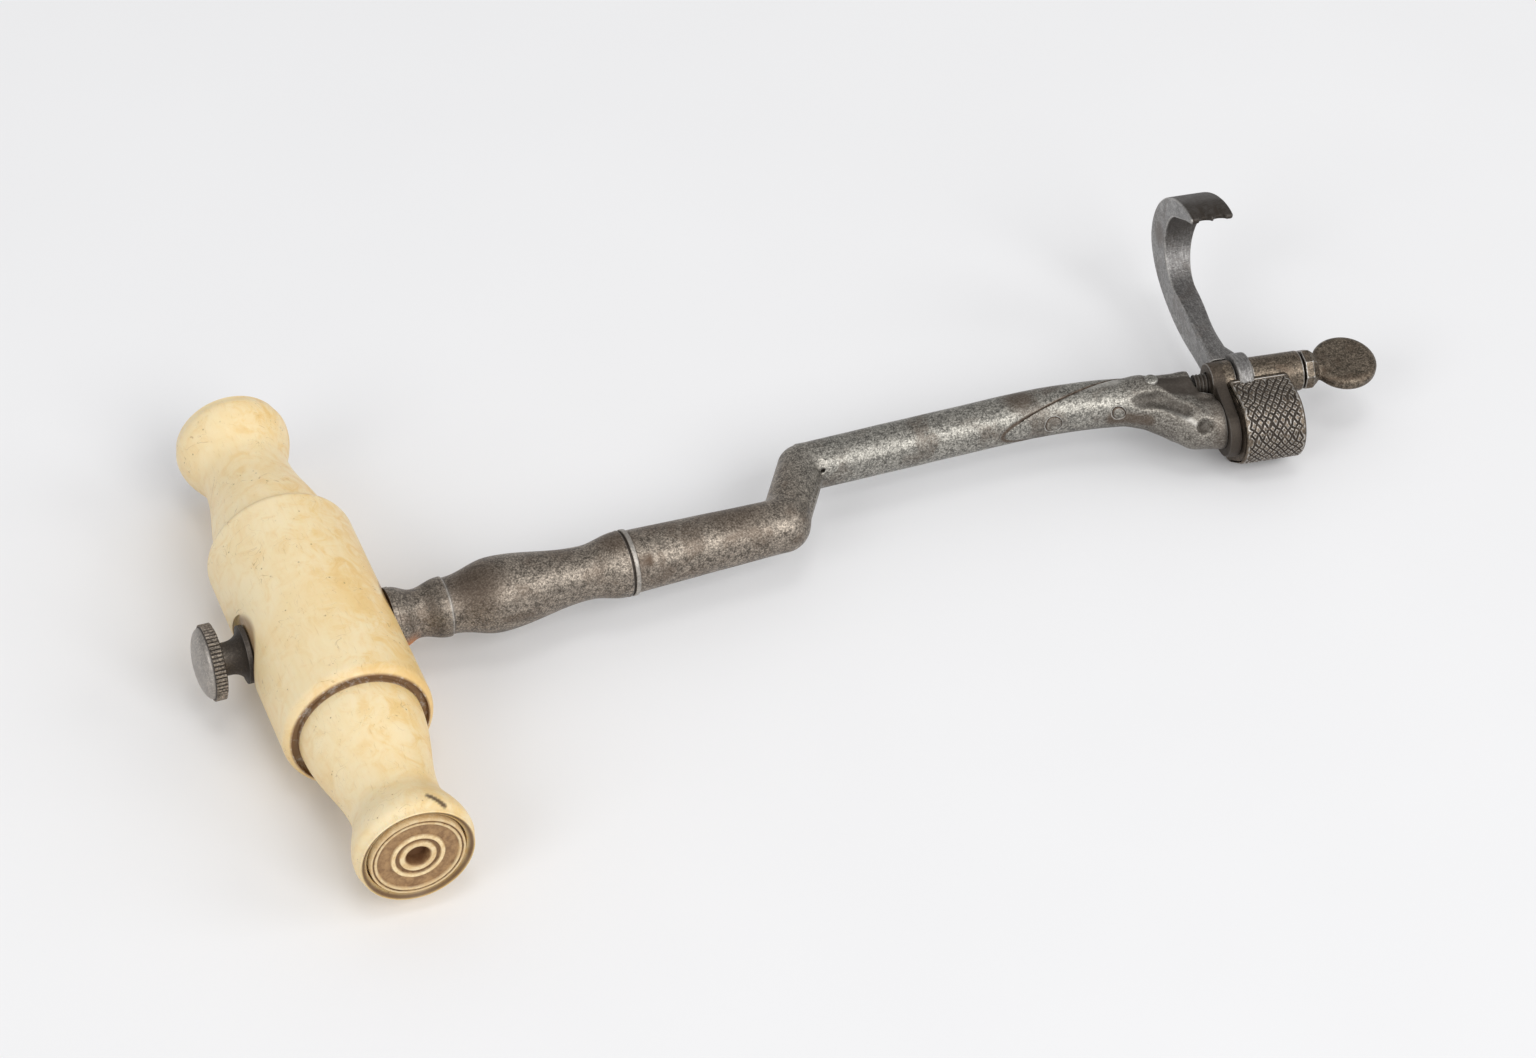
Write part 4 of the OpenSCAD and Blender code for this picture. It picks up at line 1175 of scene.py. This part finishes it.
def claw_field(q):
    """Eye, arm and hook of the claw, with rounded teeth at its tip."""
    x, y, z = q
    arm_right, tip_right, eye_side = -0.15, 3.05, 1.05
    form = outline_field(y, z, claw_outline())
    right = arm_right + (tip_right - arm_right) * np.clip(z / 15.8, 0, 1)
    right = np.maximum(right, eye_side + (arm_right - eye_side) * np.clip((y - 3.55) / 2.45, 0, 1))
    right = right - 0.4 * np.exp(-((y - 10) / 4.5) ** 2)
    rounding = 0.3 + 0.7 * (1 - smooth(y, 6, 14))
    body = keep(form, np.maximum(CLAW_SIDE - x, (x - right) * 0.95), rounding)
    body = np.maximum(body, np.minimum(2.5 - y, -eye_side - x))
    body = cut(body, rod_x(q, -6, -eye_side, 3.15), 0.2)
    body = join(body, keep(norm(y, z) - 3.55, np.abs(x) - eye_side, 0.35), 0.4)
    # Flutes between the teeth, down the tip and back over its top
    for i in (1, 2):
        across = x - (CLAW_SIDE + i * TOOTH_PITCH)
        body = cut(body, norm(across, y - 14.95) - 0.85 + 2 * np.maximum(0, 13 - z), 0.25)
        body = cut(body, norm(across, z - 16.22) - 0.85 + 0.12 * np.maximum(0, y - 14.5), 0.25)
    return cut(body, rod_x(q, -6, 2, 1.56), 0.2) + hammered(q, 2.4, 0.04, 12)


class OBJECT_OT_key_claw(bpy.types.Operator):
    """Adds the swinging claw"""
    bl_idname = "dental_key.claw"
    bl_label = "Claw"

    def execute(self, context):
        mesh = mesh_from("claw", skinned(claw_field, (-3.7, -4.2, -4.2), (3.3, 29.4, 16.8), 0.12), BIT)
        x, y, z = points_of(mesh, BIT)
        crown = smooth(z, 11.5, 13.5) * (1 - smooth(y, 18.5, 24))
        inside = 0.25 + 0.5 * smooth(z, 3.5, 8.5)
        flutes = sum(np.exp(-((x - CLAW_SIDE - i * TOOTH_PITCH) / 0.42) ** 2) for i in (0.1, 1, 2))
        flutes = np.clip(flutes, 0, 1) * smooth(z, 13.5, 14.5) * (1 - smooth(y, 16.4, 18.6))
        # Grime together with painted shade over the crown, in the flutes and up the arm; the flat left side
        # gets none
        past_side = smooth(x, -2.98, -2.7)
        store(mesh, "grime_and_shade", *(past_side * part for part in (0.95 * crown, 1.4 * flutes, inside)))
        store(mesh, "brown", 0.5 * spot((x, y, z), (CLAW_SIDE, 25.5, 6.0), 0.8, 2.8))
        add_piece("Claw", mesh, "claw", "claw_steel")
        return {"FINISHED"}


def leaf_field(q):
    """Screw, faceted collar and round leaf."""
    x, y, z = q
    thread = 0.07 * np.cos((x + 0.08 * np.arctan2(z, y)) * 2 * math.pi / 0.5)
    screw = rod_x(q, -6.55, 9.0, 1.5) + np.where(x < -4.4, 0.07 + thread, 0)
    y, z = rotated(y, z, LEAF_TURN)
    facets = np.maximum.reduce([rotated(y, z, k * math.pi / 4)[0] for k in range(8)])
    collar_r = 2.54 - 0.75 * np.clip(x - 9.85, 0, 2)
    collar = keep(facets - collar_r, between(x, 8.75, 10.6), 0.12)
    out = norm(x - 15, y)
    rim = norm(np.maximum(out - 3.45, 0), z) - 1.0
    leaf = np.maximum(rim, out - 4.4) - 0.06 * np.clip(3.2 - out, 0, 0.6)
    neck = bar_between((x, y, z), (9.8, 0, 0), (12.0, 0, 0), 1.65, 0.95)
    neck = np.maximum(neck, np.abs(z) - 1.35 + 0.25 * np.clip(x - 10, 0, 1.5))
    body = join(join(collar, neck, 0.5), leaf, 0.9)
    return np.minimum(body, screw) + hammered(q, 1.6, 0.035, 4)


class OBJECT_OT_key_claw_screw(bpy.types.Operator):
    """Adds the claw's screw with its leaf"""
    bl_idname = "dental_key.claw_screw"
    bl_label = "Claw screw"

    def execute(self, context):
        mesh = mesh_from("screw", skinned(leaf_field, (-7, -5, -3.1), (20, 5, 3.1), 0.11), BIT)
        # The screw's end inside the boss painted dark, as painted shade
        store(mesh, "grime_and_shade", 0.85 * (1 - smooth(points_of(mesh, BIT)[0], -4.5, -4.0)))
        add_piece("ClawScrew", mesh, "claw_screw", "brown_steel", 30)
        return {"FINISHED"}


def ridge_tree():
    """Sets slim ridges evenly round a rim and joins them to the turned button."""
    tree, given, end = new_tree("RimRidges", {"Count": "Int", "Radius": "Float", "Length": "Float",
                                              "Ridge": "Float", "Start": "Float",
                                              "Material": "Material"})
    ring = tree.out("GeometryNodeCurvePrimitiveCircle", values={"Resolution": given["Count"],
                                                                "Radius": given["Radius"]})
    ridge = tree.out("GeometryNodeMeshCylinder", values={"Vertices": 8, "Radius": given["Ridge"],
                                                         "Depth": given["Length"]})
    points = tree.out("GeometryNodeInstanceOnPoints", values={"Points": ring, "Instance": ridge})
    lift = tree.out("ShaderNodeCombineXYZ", values={2: given["Start"]})
    moved = tree.out("GeometryNodeTransform", values={"Geometry": points, "Translation": lift})
    both = tree.node("GeometryNodeJoinGeometry")
    for part in (moved, given["Geometry"]):
        tree.nodes.links.new(part.out, both.inputs[0])
    return end(Socket(tree, both.outputs[0]))


class OBJECT_OT_key_thumb_screw(bpy.types.Operator):
    """Adds the thumb screw with its ridged rim"""
    bl_idname = "dental_key.thumb_screw"
    bl_label = "Thumb screw"

    def execute(self, context):
        sizes = context.scene.key_sizes
        r = sizes.button / MM
        foot, foot_end, back, rim = 9.1, 9.8, 12.8, 1.7
        profile = [(3.55, foot), (3.7, foot + 0.12), (3.7, foot_end - 0.1)]
        profile += arc((3.7, foot_end + 1.8), (1.6, 1.8), -90, -180, 14)
        profile += [(2.1, back - 0.1), (2.3, back), (r - 0.5, back), (r - 0.34, back + 0.12),
                    (r - 0.3, back + 0.3), (r - 0.3, back + rim - 0.3), (r - 0.34, back + rim - 0.1)]
        profile += arc((0, back + rim - 0.1), (r - 0.35, 1.5), 4, 89, 20)
        plain = mesh_from("button", turned(profile, 224), Matrix.Scale(MM, 4))
        values = {"Count": sizes.ridges, "Radius": (r - 0.2) * MM, "Length": (rim - 0.35) * MM,
                  "Ridge": 0.2 * MM, "Start": (back + rim / 2) * MM,
                  "Material": finish_for("dark_steel")}
        mesh = with_modifier(plain, "NODES", {"node_group": ridge_tree()}, values)
        mesh.transform(Matrix.Translation(HANDLE) @ Matrix.Rotation(-math.pi / 2, 4, "Y"))
        points = points_of(mesh, FIT)
        x, out, front = -points[0], norm(points[1], points[2]), back + rim
        gaps = (1 - smooth(out, r - 0.26, r - 0.1)) * smooth(out, r - 0.8, r - 0.5)
        gaps = gaps * (1 - smooth(x, front - 0.1, front + 0.1))
        # Grime together with painted shade between the ridges and under the button, on the stem and foot
        store(mesh, "grime_and_shade", 0.9 * gaps, 0.85 * (1 - smooth(x, back - 0.3, back + 0.2)))
        store(mesh, "polish", smooth(x, front - 0.2, front + 0.1))
        add_piece("ThumbScrew", mesh, "thumb_screw", "dark_steel", 34)
        return {"FINISHED"}


# ---- stage

class OBJECT_OT_key_stage(bpy.types.Operator):
    """Adds the pale floor, the soft lights and the camera"""
    bl_idname = "dental_key.stage"
    bl_label = "Stage"

    def execute(self, context):
        scene = context.scene
        scene.view_settings.view_transform = "Standard"
        mesh = bpy.data.meshes.new("floor")
        size = 4.0
        mesh.from_pydata([(-size, -size, 0), (size, -size, 0), (size, size, 0), (-size, size, 0)],
                         [], [(0, 1, 2, 3)])
        mesh.materials.append(floor_finish())
        floor = linked("Floor", mesh)

        world = bpy.data.worlds.new("studio")
        scene.world = world
        world.use_nodes = True
        sky = world.node_tree.nodes["Background"]
        sky.inputs["Color"].default_value = (1.0, 1.0, 1.0, 1.0)
        sky.inputs["Strength"].default_value = 0.55

        for name, place, size, power in (("front", (0.3, -1.35, 1.15), 1.0, 15.0),
                                         ("left", (-1.5, -0.9, 1.1), 0.9, 9.0),
                                         ("right", (1.6, -0.8, 1.1), 0.9, 7.0),
                                         ("top", (-0.1, -0.35, 1.8), 0.5, 3.0)):
            light = bpy.data.lights.new(name, "AREA")
            light.shape, light.size, light.energy = "SQUARE", size, power
            lamp = linked(name, light)
            lamp.location = place
            lamp.rotation_euler = (-Vector(place)).to_track_quat("-Z", "Y").to_euler()

        lens = bpy.data.cameras.new("camera")
        lens.lens, lens.sensor_width = 100.0, 36.0
        lens.clip_start, lens.clip_end = 0.01, 20.0
        camera = linked("Camera", lens)
        right, up, back = ((0.9304, -0.3652, 0.0294), (0.2231, 0.6283, 0.7453),
                           (-0.2907, -0.6869, 0.6661))
        turn = Matrix((right, up, back)).transposed().to_4x4()
        place = HANDLE + Vector((-98.908, -375.151, 363.764)) * MM
        camera.matrix_world = Matrix.Translation(place) @ turn
        bpy.context.scene.camera = camera
        return {"FINISHED"}


class VIEW3D_PT_dental_key(bpy.types.Panel):
    bl_label = "Dental key"
    bl_space_type = "VIEW_3D"
    bl_region_type = "UI"
    bl_category = "Dental key"

    def draw(self, context):
        for group in (context.scene.key_sizes, context.scene.key_colours):
            for name in group.bl_rna.properties.keys():
                if name not in ("rna_type", "name"):
                    self.layout.prop(group, name)
        for step in STEPS:
            self.layout.operator(step.bl_idname)


STEPS = (OBJECT_OT_key_stage, OBJECT_OT_key_barrel, OBJECT_OT_key_grips, OBJECT_OT_key_plugs,
         OBJECT_OT_key_shank, OBJECT_OT_key_arm, OBJECT_OT_key_bolster, OBJECT_OT_key_claw,
         OBJECT_OT_key_claw_screw, OBJECT_OT_key_thumb_screw)
CLASSES = (KeySizes, KeyColours, *STEPS, VIEW3D_PT_dental_key)


def register():
    for cls in CLASSES:
        bpy.utils.register_class(cls)
    bpy.types.Scene.key_sizes = PointerProperty(type=KeySizes)
    bpy.types.Scene.key_colours = PointerProperty(type=KeyColours)


def unregister():
    del bpy.types.Scene.key_colours
    del bpy.types.Scene.key_sizes
    for cls in reversed(CLASSES):
        bpy.utils.unregister_class(cls)


def main():
    register()
    for step in STEPS:
        getattr(bpy.ops.dental_key, step.bl_idname.split(".")[1])()


if __name__ == "__main__":
    main()
